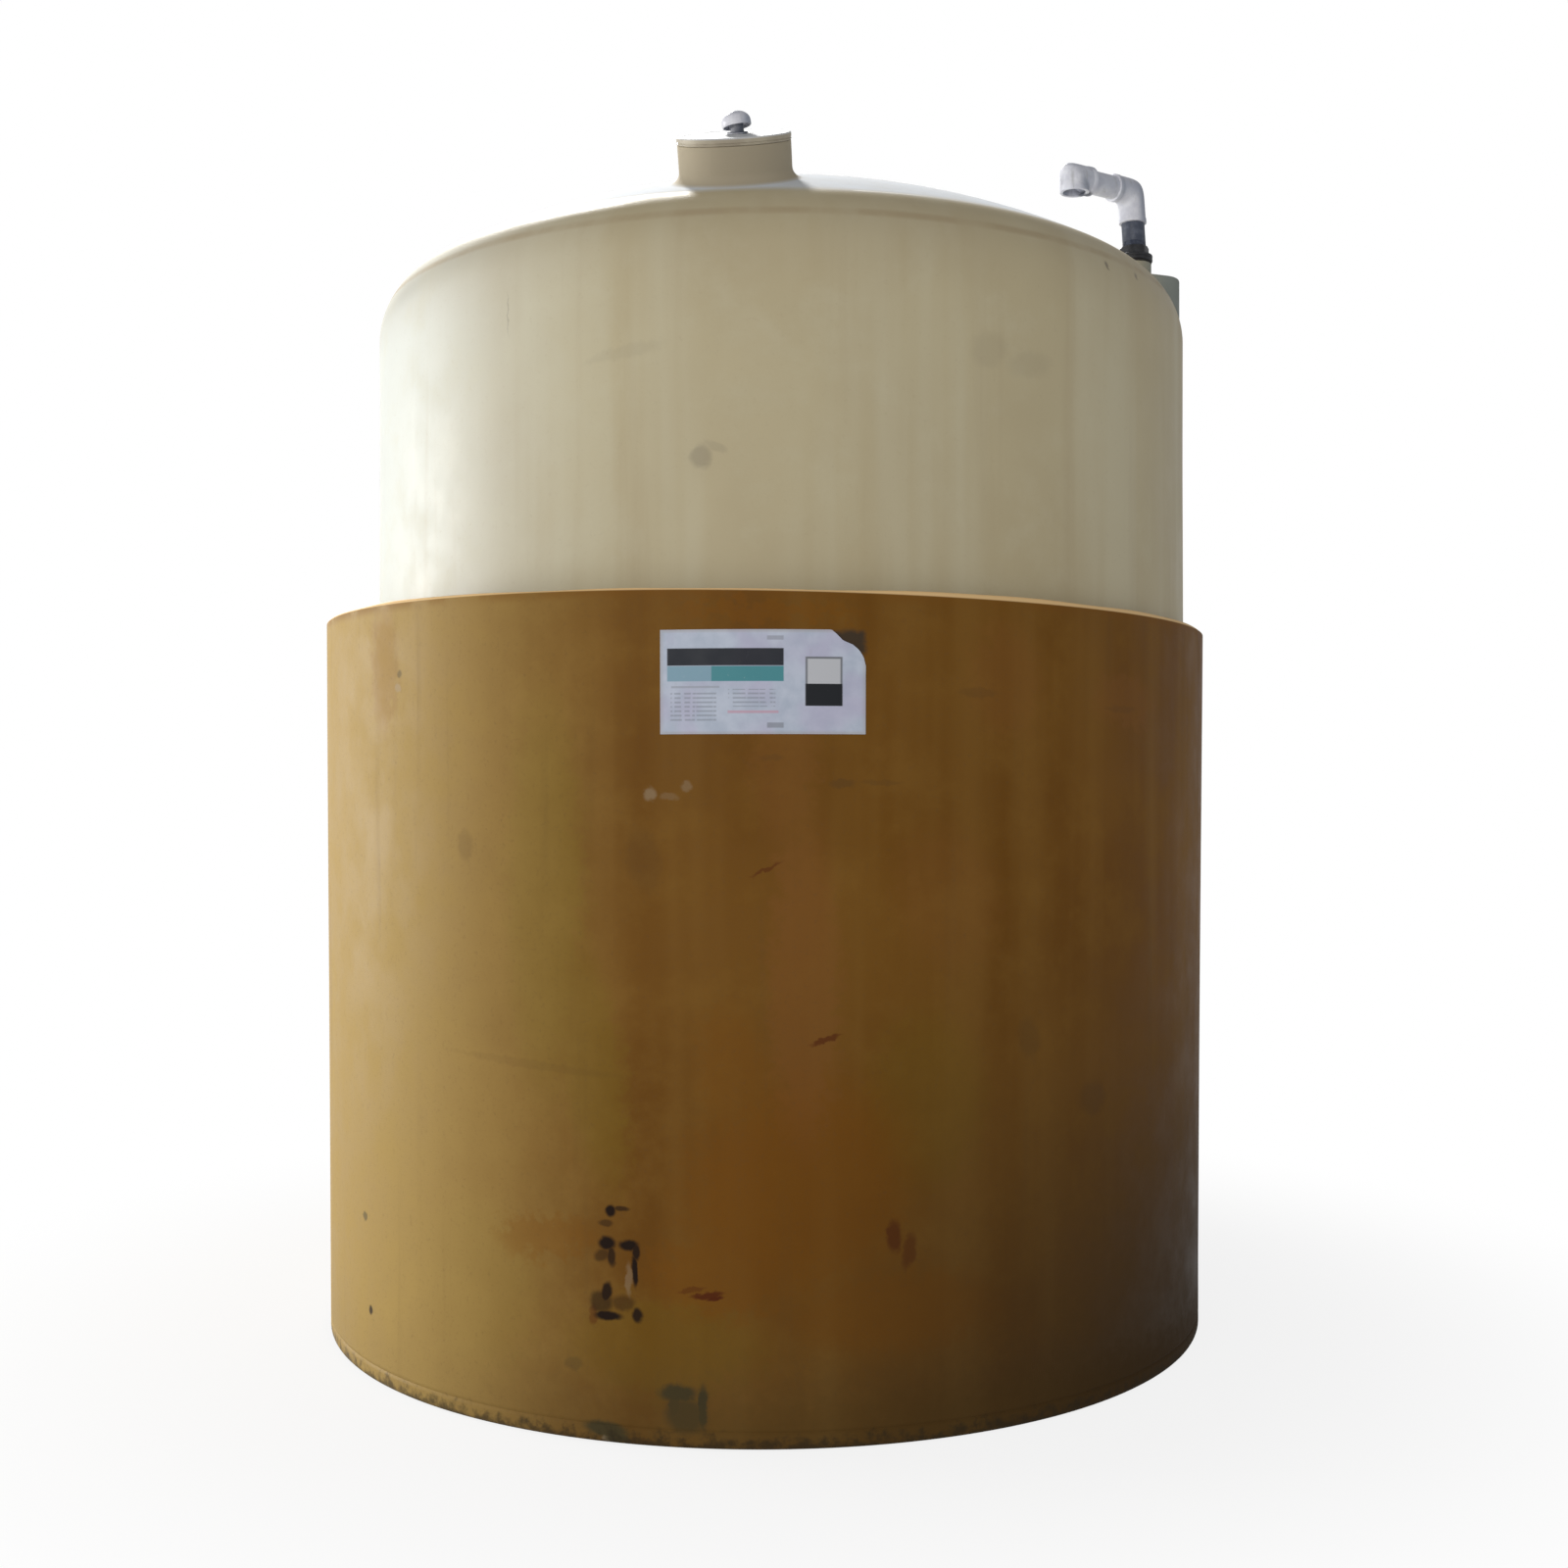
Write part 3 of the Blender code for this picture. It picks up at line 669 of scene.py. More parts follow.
def make_gooseneck():
    foot = NIPPLE_TOP + 0.0003
    rings = [upright_ring(foot, PIPE_R - 0.002)]
    rings += [upright_ring(foot + d, UPPER_ELBOW_R + extra) for d, extra in hub_steps(0.035)]
    for i in range(ELBOW_STEPS + 1):
        turn = math.radians(90) * i / ELBOW_STEPS
        middle, half = elbow_reach(turn, UPPER_BEND_R, UPPER_ELBOW_R, HEEL_POWER)
        centre = run_place(UPPER_BEND_R - middle * math.cos(turn),
                           RUN_Z - UPPER_BEND_R + middle * math.sin(turn))
        rings.append(pipe_ring(centre, -math.cos(turn), math.sin(turn), half, UPPER_ELBOW_R))
    end = UPPER_BEND_R + SOCKET
    rings += [level_ring(end - d, UPPER_ELBOW_R + extra) for d, extra in hub_steps(0.0195)[::-1]]
    rings.append(level_ring(end, PIPE_R - 0.002))
    skin("upper_elbow", rings, "vent_white", "vent_upper_elbow")

    last = RUN_LENGTH - OUTLET_BEND_R - SOCKET
    rings = [level_ring(end - 0.004, PIPE_R), level_ring(last + 0.004, PIPE_R)]
    skin("level_run", rings, "vent_white", "vent_run")

    rings = [level_ring(last, PIPE_R - 0.002)]
    rings += [level_ring(last + d, OUTLET_ELBOW_R - HUB_PROUD + extra) for d, extra in hub_steps(0.0195)]
    body = OUTLET_ELBOW_R - HUB_PROUD
    rings += [outlet_ring(3.0 * i, body, OUTLET_HEEL_POWER) for i in range(25)]
    for turn, radius in ((75, OUTLET_ELBOW_R), (88.5, OUTLET_ELBOW_R), (90, OUTLET_ELBOW_R - 0.0015)):
        rings.append(outlet_ring(turn, radius, OUTLET_HEEL_POWER))
    for turn, radius in ((90, OUTLET_BORE_R + 0.0015), (88.5, OUTLET_BORE_R), (70, OUTLET_BORE_R),
                         (50, OUTLET_BORE_R), (30, OUTLET_BORE_R)):
        rings.append(outlet_ring(turn, radius, 2))
    skin("outlet_elbow", rings, "vent_white", "vent_outlet_elbow")


def outlet_ring(degrees, radius, power):
    """A ring of the outlet elbow, which turns from level at 0 to straight down at 90 degrees."""
    turn = math.radians(degrees)
    middle, half = elbow_reach(turn, OUTLET_BEND_R, radius, power)
    centre = run_place(RUN_LENGTH - OUTLET_BEND_R + middle * math.sin(turn),
                       RUN_Z - OUTLET_BEND_R + middle * math.cos(turn))
    return pipe_ring(centre, math.sin(turn), math.cos(turn), half, radius)


# Geometry of the label

def tear_depth(inset):
    """How far the label's top edge is down at a distance in from its right edge."""
    for (far, high), (near, low) in zip(LABEL_TEAR, LABEL_TEAR[1:]):
        if near <= inset <= far:
            return blend(high, low, (far - inset) / (far - near))
    return 0.0


def make_label():
    """A thin sheet on the basin's wall. Its torn corner stands a little off the wall."""
    rings = []
    right = LABEL_MIDDLE + LABEL_SPAN / 2
    for i in range(LABEL_COLUMNS + 1):
        share = i / LABEL_COLUMNS
        along = LABEL_MIDDLE + LABEL_SPAN * (share - 0.5)
        top = LABEL_Z[1] - tear_depth(right - along)
        bearing = -math.pi / 2 + along / BASIN_RIM_R
        front, back = [], []
        for j in range(LABEL_ROWS + 1):
            z = blend(LABEL_Z[0], top, j / LABEL_ROWS)
            corner = math.hypot(right - along, LABEL_Z[1] - z)
            curl = LABEL_CURL * ease(max(0.0, 1 - corner / LABEL_CURL_REACH)) ** 0.8
            wall = basin_radius(z) - basin_wave(bearing, z)
            for sheet, row in ((LABEL_SHEET, front), (0.0, back)):
                radius = wall + LABEL_LIFT + curl + sheet
                row.append((radius * math.cos(bearing), radius * math.sin(bearing), z))
        rings.append(front + back[::-1])
    skin("label_sheet", rings, "label_sheet", "label", smooth=50)


class Nodes:
    """A node tree, with short names for the nodes that the materials and the sky need."""

    def __init__(self, tree):
        self.tree = tree
        self.link = tree.links.new

    def add(self, kind, inputs=None, **settings):
        made = self.tree.nodes.new(kind)
        for key, value in settings.items():
            setattr(made, key, value)
        for socket, value in (inputs or {}).items():
            if isinstance(value, bpy.types.NodeSocket):
                self.link(value, made.inputs[socket])
            else:
                made.inputs[socket].default_value = value
        return made

    def math(self, operation, *values):
        return self.add("ShaderNodeMath", dict(enumerate(values)), operation=operation).outputs[0]

    def times(self, a, b):
        return self.math("MULTIPLY", a, b)

    def plus(self, a, b):
        return self.math("ADD", a, b)

    def measure(self, operation, a, b=(0, 0, 0)):
        """A plain value from one or two vectors."""
        return self.add("ShaderNodeVectorMath", {0: a, 1: b}, operation=operation).outputs["Value"]

    def split(self, vector):
        return self.add("ShaderNodeSeparateXYZ", {0: vector}).outputs


class Paint(Nodes):
    """A procedural material in the making. Its colour is laid on in layers, the lowest first."""

    def __init__(self, name, roughness, specular=0.5):
        self.material = bpy.data.materials.new(name)
        self.material.use_nodes = True
        super().__init__(self.material.node_tree)
        self.shader = self.tree.nodes["Principled BSDF"]
        self.shader.inputs["Roughness"].default_value = roughness
        self.shader.inputs["Specular IOR Level"].default_value = specular
        self.place = self.add("ShaderNodeTexCoord").outputs["Object"]

    def ramp(self, value, low, high, start=0.0, end=1.0):
        """Smooth step of a value between low and high, onto start to end."""
        sockets = {"Value": value, "From Min": low, "From Max": high, "To Min": start, "To Max": end}
        return self.add("ShaderNodeMapRange", sockets, interpolation_type="SMOOTHSTEP").outputs[0]

    def mix(self, share, a, b):
        tones = [tone if isinstance(tone, bpy.types.NodeSocket) else (*tone, 1.0) for tone in (a, b)]
        sockets = {0: share, 6: tones[0], 7: tones[1]}
        return self.add("ShaderNodeMix", sockets, data_type="RGBA").outputs[2]

    def ground(self, value, low, high, first, last):
        """The lowest layer, from one tone to another as a value goes from low to high."""
        self.colour = self.mix(self.ramp(value, low, high), first, last)

    def over(self, share, tone):
        """One more layer, on a share of the surface."""
        self.colour = self.mix(share, self.colour, tone)

    def veil(self, value, low, high, strength, tone):
        """One more layer, which comes in as a value goes from low to high."""
        self.over(self.ramp(value, low, high, 0.0, strength), tone)

    def noise(self, scale, detail=3.0, roughness=0.5, stretch=(1, 1, 1), shift=(0, 0, 0)):
        """Noise in space. stretch below 1 draws it out along that axis."""
        moved = self.add("ShaderNodeMapping", {"Vector": self.place, "Location": shift,
                                               "Scale": stretch}).outputs[0]
        sockets = {"Vector": moved, "Scale": scale, "Detail": detail, "Roughness": roughness}
        return self.add("ShaderNodeTexNoise", sockets).outputs[0]

    def sway(self, noise, size):
        """Noise moved to lie about zero."""
        return self.times(self.plus(noise, -0.5), size)

    def on_wall(self, axis_x=0.0, radius=MARK_R):
        """Takes the arc from the front and the height on a round wall."""
        x, y, self.z = self.split(self.place)
        bearing = self.math("ARCTAN2", self.plus(x, -axis_x), self.times(y, -1.0))
        self.along = self.times(bearing, radius)

    def stain(self, marks, tone, strength=1.0, fray=1.0):
        """One more layer, in soft ellipses with ragged edges on the wall."""
        off = self.times(self.ragged, fray)
        frayed = self.add("ShaderNodeCombineXYZ", {0: self.plus(self.along, off),
                                                   1: self.math("SUBTRACT", self.z, off)}).outputs[0]
        total = 0.0
        for *sizes, tilt, most in marks:
            arc_at, z_at, wide, high = [size / 1000 for size in sizes]
            sockets = {"Vector": frayed, "Location": (arc_at, z_at, 0),
                       "Rotation": (0, 0, math.radians(tilt)), "Scale": (wide, high, 1)}
            local = self.add("ShaderNodeMapping", sockets, vector_type="TEXTURE").outputs[0]
            mark = self.ramp(self.measure("LENGTH", local), 1.15, 0.55, 0.0, most)
            total = self.math("MAXIMUM", total, mark)
        self.over(self.times(total, strength), tone)

    def across(self, low, high, start=0.0, end=1.0):
        """Smooth step along X, which is continuous round a wall."""
        return self.ramp(self.split(self.place)[0], low, high, start, end)

    def fade(self, cloud, steps, size, gate, tone):
        """A paler layer to the left with a frayed edge, and none to the right of the gate."""
        share = self.plus(self.across(*steps), self.sway(cloud, size))
        self.over(self.times(share, self.across(*gate)), tone)

    def patch(self, along, z, area, soft=0.004):
        """1 inside a rectangle of left, right, low and high, and 0 outside."""
        left, right, low, high = area
        inside = self.ramp(along, left - soft, left + soft)
        for value, edge in ((along, right), (z, high)):
            inside = self.times(inside, self.ramp(value, edge + soft, edge - soft))
        return self.times(inside, self.ramp(z, low - soft, low + soft))

    def finish(self, roughness, bump, strength, distance):
        made = self.add("ShaderNodeBump", {"Height": bump, "Strength": strength, "Distance": distance})
        self.link(self.colour, self.shader.inputs["Base Color"])
        self.link(roughness, self.shader.inputs["Roughness"])
        self.link(made.outputs[0], self.shader.inputs["Normal"])
        return self.material


def put(material, *pieces):
    for piece in pieces:
        piece.data.materials.clear()
        piece.data.materials.append(material)


MUSTARD = (0.190, 0.082, 0.009)
MUSTARD_PALE = (0.255, 0.130, 0.026)
MUSTARD_DEEP = (0.155, 0.062, 0.005)
LIT_SIDE_MUSTARD = (0.385, 0.255, 0.074)
OLIVE = (0.190, 0.105, 0.008)
RUST_ORANGE = (0.215, 0.075, 0.002)
RED_BROWN = (0.235, 0.092, 0.020)
RUN_BROWN = (0.13, 0.070, 0.020)
SPECK_BROWN = (0.13, 0.072, 0.026)
SMUDGE_BROWN = (0.100, 0.052, 0.016)
SCUFF = (0.36, 0.28, 0.18)
RUST = (0.100, 0.020, 0.003)
MOSS = (0.036, 0.036, 0.018)
TAR = (0.014, 0.006, 0.003)
GRIMY_SHADE_TONE = (0.090, 0.058, 0.018)
PAINTED_SHADE_BROWN = (0.034, 0.018, 0.005)
FOOT_DARK_TONE = (0.028, 0.020, 0.010)
CURL_SHADOW_TONE = (0.040, 0.034, 0.026)
RIM_ORANGE = (0.19, 0.072, 0.008)
RIM_EDGE_HIGHLIGHT = (0.80, 0.54, 0.26)

# Marks on the basin's wall: arc, height, half width and half height in millimetres, then the
# tilt in degrees and the strength
TAR_MARKS = [
    (-378, 578, 16, 17, 0, 1.0), (-350, 585, 24, 8, 0, 0.75), (-392, 548, 22, 10, 0, 0.55),
    (-388, 497, 26, 20, 0, 1.0), (-376, 466, 12, 28, 0, 0.85), (-402, 466, 26, 18, 20, 0.6),
    (-331, 496, 30, 17, 0, 1.0), (-311, 480, 12, 24, 0, 0.95), (-315, 434, 9, 46, 3, 1.0),
    (-390, 376, 16, 30, -15, 0.95), (-404, 350, 36, 32, 0, 0.7), (-386, 318, 42, 14, 0, 1.0),
    (-345, 352, 36, 22, 0, 0.5), (-308, 323, 16, 20, 0, 0.95), (-1255, 193, 14, 14, 0, 0.9),
]
RUST_MARKS = [
    (-170, 392, 40, 7, 8, 0.5), (-130, 381, 46, 9, 8, 0.95), (-112, 374, 26, 7, 5, 1.0),
    (335, 520, 22, 44, 0, 0.75), (375, 478, 22, 50, -12, 0.6), (162, 1008, 46, 7, 16, 0.75),
    (-428, 318, 12, 30, 0, 0.5), (16, 1427, 48, 5, 22, 0.6),
]
MOSS_MARKS = [
    (-205, 138, 56, 24, 0, 0.9), (-142, 105, 16, 62, 0, 0.95), (-185, 85, 60, 50, -8, 0.75),
    (-214, 108, 18, 44, 0, 0.8), (-390, 35, 66, 24, -6, 0.95), (-360, 16, 36, 20, 0, 0.95),
    (-1291, 448, 18, 14, 0, 0.6), (-1075, 1935, 14, 12, 0, 0.5), (-480, 190, 30, 18, 10, 0.25),
]
SCUFF_MARKS = [
    (-274, 1612, 18, 20, 0, 0.45), (-226, 1606, 26, 10, 0, 0.20), (-182, 1632, 16, 16, 0, 0.30),
    (-1083, 1898, 14, 14, 0, 0.5), (-330, 410, 10, 45, 0, 0.30), (-382, 10, 20, 12, 0, 0.8),
]
SMUDGE_MARKS = [
    (203, 1637, 36, 14, 0, 0.5), (300, 1640, 60, 8, 0, 0.3), (716, 988, 40, 60, 12, 0.35),
    (944, 816, 60, 50, 0, 0.4), (30, 1700, 34, 10, 0, 0.3), (560, 1868, 60, 14, 0, 0.3),
    (1060, 1840, 80, 12, 0, 0.3), (-810, 1480, 30, 45, 0, 0.3), (-290, 1450, 50, 90, 10, 0.25),
    (-600, 930, 300, 12, -4, 0.15),
]
OLIVE_MARKS = [
    (-560, 1350, 130, 560, 0, 1.0), (-430, 950, 100, 350, 10, 0.8), (420, 850, 180, 250, 0, 0.5),
    (-250, 250, 300, 140, 0, 0.6), (-800, 350, 250, 250, 0, 0.7),
]
RED_MARKS = [
    (110, 1150, 100, 450, 0, 0.9), (60, 1700, 90, 250, 0, 0.6), (640, 1900, 120, 160, 0, 0.5),
    (1080, 1860, 160, 80, 0, 0.6), (-1150, 1950, 80, 200, 0, 0.5), (480, 1350, 160, 200, 20, 0.4),
]
GLOW_MARKS = [
    (100, 640, 340, 300, 35, 1.0), (-100, 430, 200, 120, 0, 0.8), (-560, 500, 170, 60, 5, 0.55),
    (340, 330, 300, 120, 0, 0.8), (-60, 900, 100, 220, 10, 0.5), (20, 2060, 260, 30, 0, 0.6),
]
# A painted shadow under the rim, behind the label's curled corner: left, right, low and high in metres
CURL_SHADOW_AREA = (0.175, 0.258, 1.955, 2.012)


def basin_plastic():
    """Mustard polyethylene: paler to the left, partly faded and partly a painted highlight; orange and
    grimy low down, with painted shade low on the right; cut edge pale, partly a painted highlight.
    """
    paint = Paint("basin_plastic", 0.55, 0.1)
    paint.on_wall()
    paint.ragged = paint.sway(paint.noise(34, 4, 0.6), 0.026)
    cloud = paint.noise(7, 6, 0.62, shift=(3, 1, 2))
    paint.ground(paint.noise(1.3, 3, 0.55), 0.36, 0.66, MUSTARD_DEEP, MUSTARD)
    paint.veil(paint.noise(4.5, 3, 0.55, stretch=(1, 1, 0.06)), 0.42, 0.66, 0.40, MUSTARD_PALE)
    paint.veil(cloud, 0.42, 0.74, 0.30, MUSTARD_PALE)
    paint.stain(OLIVE_MARKS, OLIVE, 0.8, 5.0)
    # Paler to the left, where the window light falls: partly sun-fading, partly a painted highlight and
    # sheen.
    paint.fade(cloud, (-0.20, -1.05, 0.0, 0.92), 0.3, (-0.10, -0.50), LIT_SIDE_MUSTARD)
    paint.stain(GLOW_MARKS, RUST_ORANGE, 0.62, 6.0)
    paint.stain(RED_MARKS, RED_BROWN, 0.5, 5.0)
    paint.veil(paint.noise(13, 4, 0.6, stretch=(1, 1, 0.045)), 0.54, 0.82, 0.30, RUN_BROWN)
    paint.veil(paint.noise(85, 4, 0.7), 0.52, 0.80, 0.30, SPECK_BROWN)
    paint.stain(SMUDGE_MARKS, SMUDGE_BROWN, 0.8)
    paint.stain(SCUFF_MARKS, SCUFF)
    paint.stain(RUST_MARKS, RUST)
    paint.stain(MOSS_MARKS, MOSS)
    paint.stain(TAR_MARKS, TAR, fray=0.5)

    low_down = paint.plus(paint.z, paint.times(paint.ragged, 5.0))
    # Grime low down, weaker on the lit left side: partly dirt, partly painted shade.
    grimy_shade = paint.times(paint.ramp(low_down, 0.30, 0.0, 0.0, 0.55), paint.across(-1.1, 0.0, 0.2, 1.0))
    paint.over(grimy_shade, GRIMY_SHADE_TONE)
    # Painted shade: darker to the right and towards the bottom, away from the window light.
    shade = paint.times(paint.across(-0.55, 1.25), paint.ramp(low_down, 1.5, 0.05, 0.0, 0.92))
    paint.over(shade, PAINTED_SHADE_BROWN)
    # Darker at the very foot.
    paint.veil(low_down, 0.04, 0.0, 0.7, FOOT_DARK_TONE)
    # Painted shadow of the label's curled corner on the wall.
    curl_shadow = paint.patch(paint.plus(paint.along, paint.ragged), paint.plus(paint.z, paint.ragged),
                          CURL_SHADOW_AREA, 0.009)
    paint.over(paint.times(curl_shadow, 0.85), CURL_SHADOW_TONE)

    tilt = paint.times(paint.across(-BASIN_RIM_R, BASIN_RIM_R, -BASIN_RIM_R, BASIN_RIM_R),
                       -BASIN_RIM_SLOPE)
    rim_z = paint.plus(paint.z, tilt)
    under_rim = paint.ramp(rim_z, BASIN_HEIGHT - 0.040, BASIN_HEIGHT - 0.012)
    paint.over(paint.times(under_rim, paint.ramp(cloud, 0.35, 0.6, 0.1, 0.5)), RIM_ORANGE)
    # Pale cut edge along the rim, brightened as a painted highlight of the lit edge.
    paint.veil(rim_z, BASIN_HEIGHT - 0.0125, BASIN_HEIGHT - 0.0085, 0.95, RIM_EDGE_HIGHLIGHT)

    rough = paint.math("MAXIMUM", paint.ramp(cloud, 0.3, 0.75, 0.48, 0.66),
                       paint.ramp(grimy_shade, 0.0, 0.6, 0.4, 0.8))
    grain = paint.plus(paint.noise(210, 3, 0.6), paint.times(cloud, 1.6))
    scratches = paint.noise(60, 2, 0.7, stretch=(1, 1, 9), shift=(2, 7, 1))
    return paint.finish(rough, paint.plus(grain, paint.times(scratches, 0.5)), 0.22, 0.0016)


CREAM = (0.545, 0.468, 0.290)
CREAM_PALE = (0.610, 0.560, 0.395)
CREAM_WARM = (0.500, 0.420, 0.255)
LIT_SIDE_CREAM = (0.610, 0.635, 0.590)
CREAM_RUN = (0.42, 0.33, 0.20)
CREAM_SPECK = (0.40, 0.32, 0.20)
DOME_SHADE_TONE = (0.36, 0.30, 0.20)
SHADE_LINE_TONE = (0.34, 0.25, 0.14)
SUNLIT_CROWN_TONE = (0.60, 0.64, 0.69)
NECK_SHADE_TONE = (0.385, 0.330, 0.235)
FLAT_SIDE_SHADE = (0.21, 0.24, 0.23)
LOW_WALL_DARK = (0.30, 0.24, 0.14)
TANK_SMUDGE = (0.17, 0.14, 0.11)

# Marks on the tank, in the basin marks' form
TANK_MARKS = [
    (-218, 2465, 34, 34, 20, 0.34), (-175, 2488, 36, 14, -20, 0.18), (600, 2760, 70, 50, 15, 0.10),
    (740, 2735, 90, 40, 10, 0.10), (-440, 2740, 130, 20, 8, 0.09), (1070, 3057, 10, 12, 0, 0.7),
    (1245, 3060, 12, 12, 0, 0.6), (-827, 2882, 3, 60, 0, 0.30),
]


def tank_plastic(name, on_dome):
    """Natural cream polyethylene with soft runs, paler to the left, partly as a painted highlight. On
    the dome: painted shade, a painted highlight on its top and painted shade on the neck. The raised
    flat has painted grey shade to the right."""
    paint = Paint(name, 0.5, 0.3)
    paint.on_wall(TANK_X)
    paint.ragged = paint.sway(paint.noise(30, 4, 0.6), 0.03)
    cloud = paint.noise(6, 6, 0.62)
    bands = paint.noise(5, 3, 0.55, stretch=(1, 1, 0.06), shift=(0, 4, 0))
    paint.ground(paint.noise(1.6, 3, 0.5, shift=(7, 0, 0)), 0.36, 0.66, CREAM_WARM, CREAM)
    paint.veil(bands, 0.42, 0.68, 0.5, CREAM_PALE)
    # Paler to the left, where the window light falls: partly sun-fading, partly a painted highlight.
    paint.fade(cloud, (-0.35, -1.15, 0.0, 0.95), 0.25, (-0.15, -0.50), LIT_SIDE_CREAM)
    paint.veil(cloud, 0.46, 0.75, 0.30, CREAM_PALE)
    paint.veil(paint.noise(12, 4, 0.6, stretch=(1, 1, 0.05)), 0.54, 0.82, 0.25, CREAM_RUN)
    paint.veil(paint.noise(70, 4, 0.7), 0.55, 0.82, 0.25, CREAM_SPECK)
    # Painted shade: the shoulder and the dome darker than the wall.
    paint.veil(paint.z, SHOULDER_Z - 0.12, SHOULDER_Z + 0.14, 0.42, DOME_SHADE_TONE)
    # A thin painted shade line round the dome, above the shoulder.
    shade_line = paint.ramp(paint.math("ABSOLUTE", paint.plus(paint.z, -SHADE_LINE_Z)), 0.016, 0.003)
    paint.over(paint.times(shade_line, paint.ramp(cloud, 0.3, 0.6, 0.15, 0.5)), SHADE_LINE_TONE)
    # Painted highlight: the dome's top in bluish white, as if lit by the back key.
    sunlit_crown = paint.times(paint.ramp(paint.z, SHOULDER_Z + 0.155, SHOULDER_Z + 0.195),
                        paint.ramp(cloud, 0.30, 0.70, 0.95, 0.75))
    if on_dome:
        paint.over(sunlit_crown, SUNLIT_CROWN_TONE)
        # Painted shade on the neck and round its foot.
        neck_middle = leaning([(0.0, 0.0, CROWN_R + 0.050)])[0]
        paint.veil(paint.measure("DISTANCE", paint.place, neck_middle), 0.192, 0.168, 1.0, NECK_SHADE_TONE)
    else:
        # Painted shade: the raised flat and its boss go grey towards their right side.
        paint.over(paint.across(TANK_X + 1.10, TANK_X + 1.22, 0.2, 0.9), FLAT_SIDE_SHADE)
    # Darker towards the bottom, where the wall stands inside the basin.
    paint.veil(paint.plus(paint.z, paint.times(paint.ragged, 4.0)), 1.9, 0.2, 0.65, LOW_WALL_DARK)
    paint.stain(TANK_MARKS, TANK_SMUDGE)
    rough = paint.math("MAXIMUM", paint.ramp(cloud, 0.3, 0.75, 0.42, 0.60),
                       paint.ramp(sunlit_crown, 0.0, 0.7, 0.4, 0.9))
    grain = paint.plus(paint.noise(190, 3, 0.6), paint.times(cloud, 1.3))
    return paint.finish(rough, grain, 0.18, 0.0015)


LID_SHADED_SIDE = ((0.36, 0.31, 0.23), (0.46, 0.41, 0.31))
LID_FADED = ((0.50, 0.51, 0.52), (0.62, 0.62, 0.61))
LID_SPECK = (0.36, 0.32, 0.26)


def lid_plastic():
    """The lid's top has faded to grey white, and its side is painted shade, as dark as the neck."""
    paint = Paint("lid_plastic", 0.5, 0.4)
    cloud = paint.noise(18, 5, 0.6)
    patches = paint.ramp(cloud, 0.35, 0.7)
    up = NECK_AXIS.normalized()
    top = LID_TOP + CROWN_MIDDLE.dot(up)
    # Painted shade on the lid's side, pale grey white on its top.
    paint.ground(paint.measure("DOT_PRODUCT", paint.place, tuple(up)), top - 0.0045, top - 0.0015,
                 paint.mix(patches, *LID_SHADED_SIDE), paint.mix(patches, *LID_FADED))
    paint.veil(paint.noise(150, 3, 0.7), 0.6, 0.8, 0.4, LID_SPECK)
    return paint.finish(paint.ramp(cloud, 0.3, 0.7, 0.42, 0.6), paint.noise(260, 3, 0.6), 0.15, 0.001)


PIPE_SHADE = (0.66, 0.66, 0.72)
PIPE_WHITE = (0.82, 0.82, 0.86)
PIPE_SIDE_SHADE = (0.19, 0.23, 0.31)
PIPE_SPOT_SHADE = (0.030, 0.042, 0.070)
PIPE_RUN = (0.30, 0.29, 0.27)
# Painted shade on the gooseneck: distance along the run, height over the run's axis, reach
PIPE_SHADOW_SPOTS = [(0.175, 0.022, 0.036), (-0.044, -0.005, 0.030), (0.195, -0.052, 0.026),
              (0.150, 0.045, 0.026)]
CAP_UNDER_SHADE = (CAP_OFFSET + 0.008, 0.0, CAP_LOW - 0.014)


def vent_white():
    """White pipe plastic, with painted bluish shade on the sides that face right and on the tops, and
    painted shade at the joints, the heels and under the cap's lip.
    """
    paint = Paint("vent_white", 0.35)
    cloud = paint.noise(26, 5, 0.6)
    paint.ground(cloud, 0.35, 0.7, PIPE_SHADE, PIPE_WHITE)
    spots = [(run_place(along, RUN_Z + rise), reach) for along, rise, reach in PIPE_SHADOW_SPOTS]
    # Painted shade round these spots on the gooseneck and under the cap.
    grimy_shade = 0.0
    for spot, reach in spots + [(leaning([CAP_UNDER_SHADE])[0], 0.046)]:
        away = paint.plus(paint.measure("DISTANCE", paint.place, spot), paint.sway(cloud, 0.03))
        grimy_shade = paint.math("MAXIMUM", grimy_shade, paint.ramp(away, reach, reach * 0.35, 0.0, 0.9))
    x, _, z = paint.split(paint.add("ShaderNodeNewGeometry").outputs["Normal"])
    # Painted shade: bluish grey on the sides that face right and on the tops.
    stain = paint.math("MAXIMUM", paint.ramp(x, 0.10, 0.85, 0.0, 0.75),
                       paint.ramp(z, 0.25, 0.90, 0.0, 0.45))
    paint.over(stain, PIPE_SIDE_SHADE)
    paint.over(grimy_shade, PIPE_SPOT_SHADE)
    paint.veil(paint.noise(70, 3, 0.6, stretch=(1, 1, 0.2)), 0.52, 0.8, 0.45, PIPE_RUN)
    return paint.finish(paint.ramp(cloud, 0.3, 0.7, 0.28, 0.5), paint.noise(300, 2, 0.5), 0.08, 0.0008)


DUST = (0.16, 0.14, 0.11)


def worn(name, dark, light, roughness, scale, bump):
    """Dark moulded plastic or rubber with dust and worn, lighter patches."""
    paint = Paint(name, roughness)
    cloud = paint.noise(scale, 5, 0.65)
    paint.ground(cloud, 0.42, 0.72, dark, light)
    paint.veil(paint.noise(scale * 6, 3, 0.7), 0.58, 0.8, 0.5, DUST)
    rough = paint.ramp(cloud, 0.3, 0.7, roughness - 0.1, roughness + 0.15)
    return paint.finish(rough, paint.noise(scale * 8, 3, 0.6), bump, 0.001)


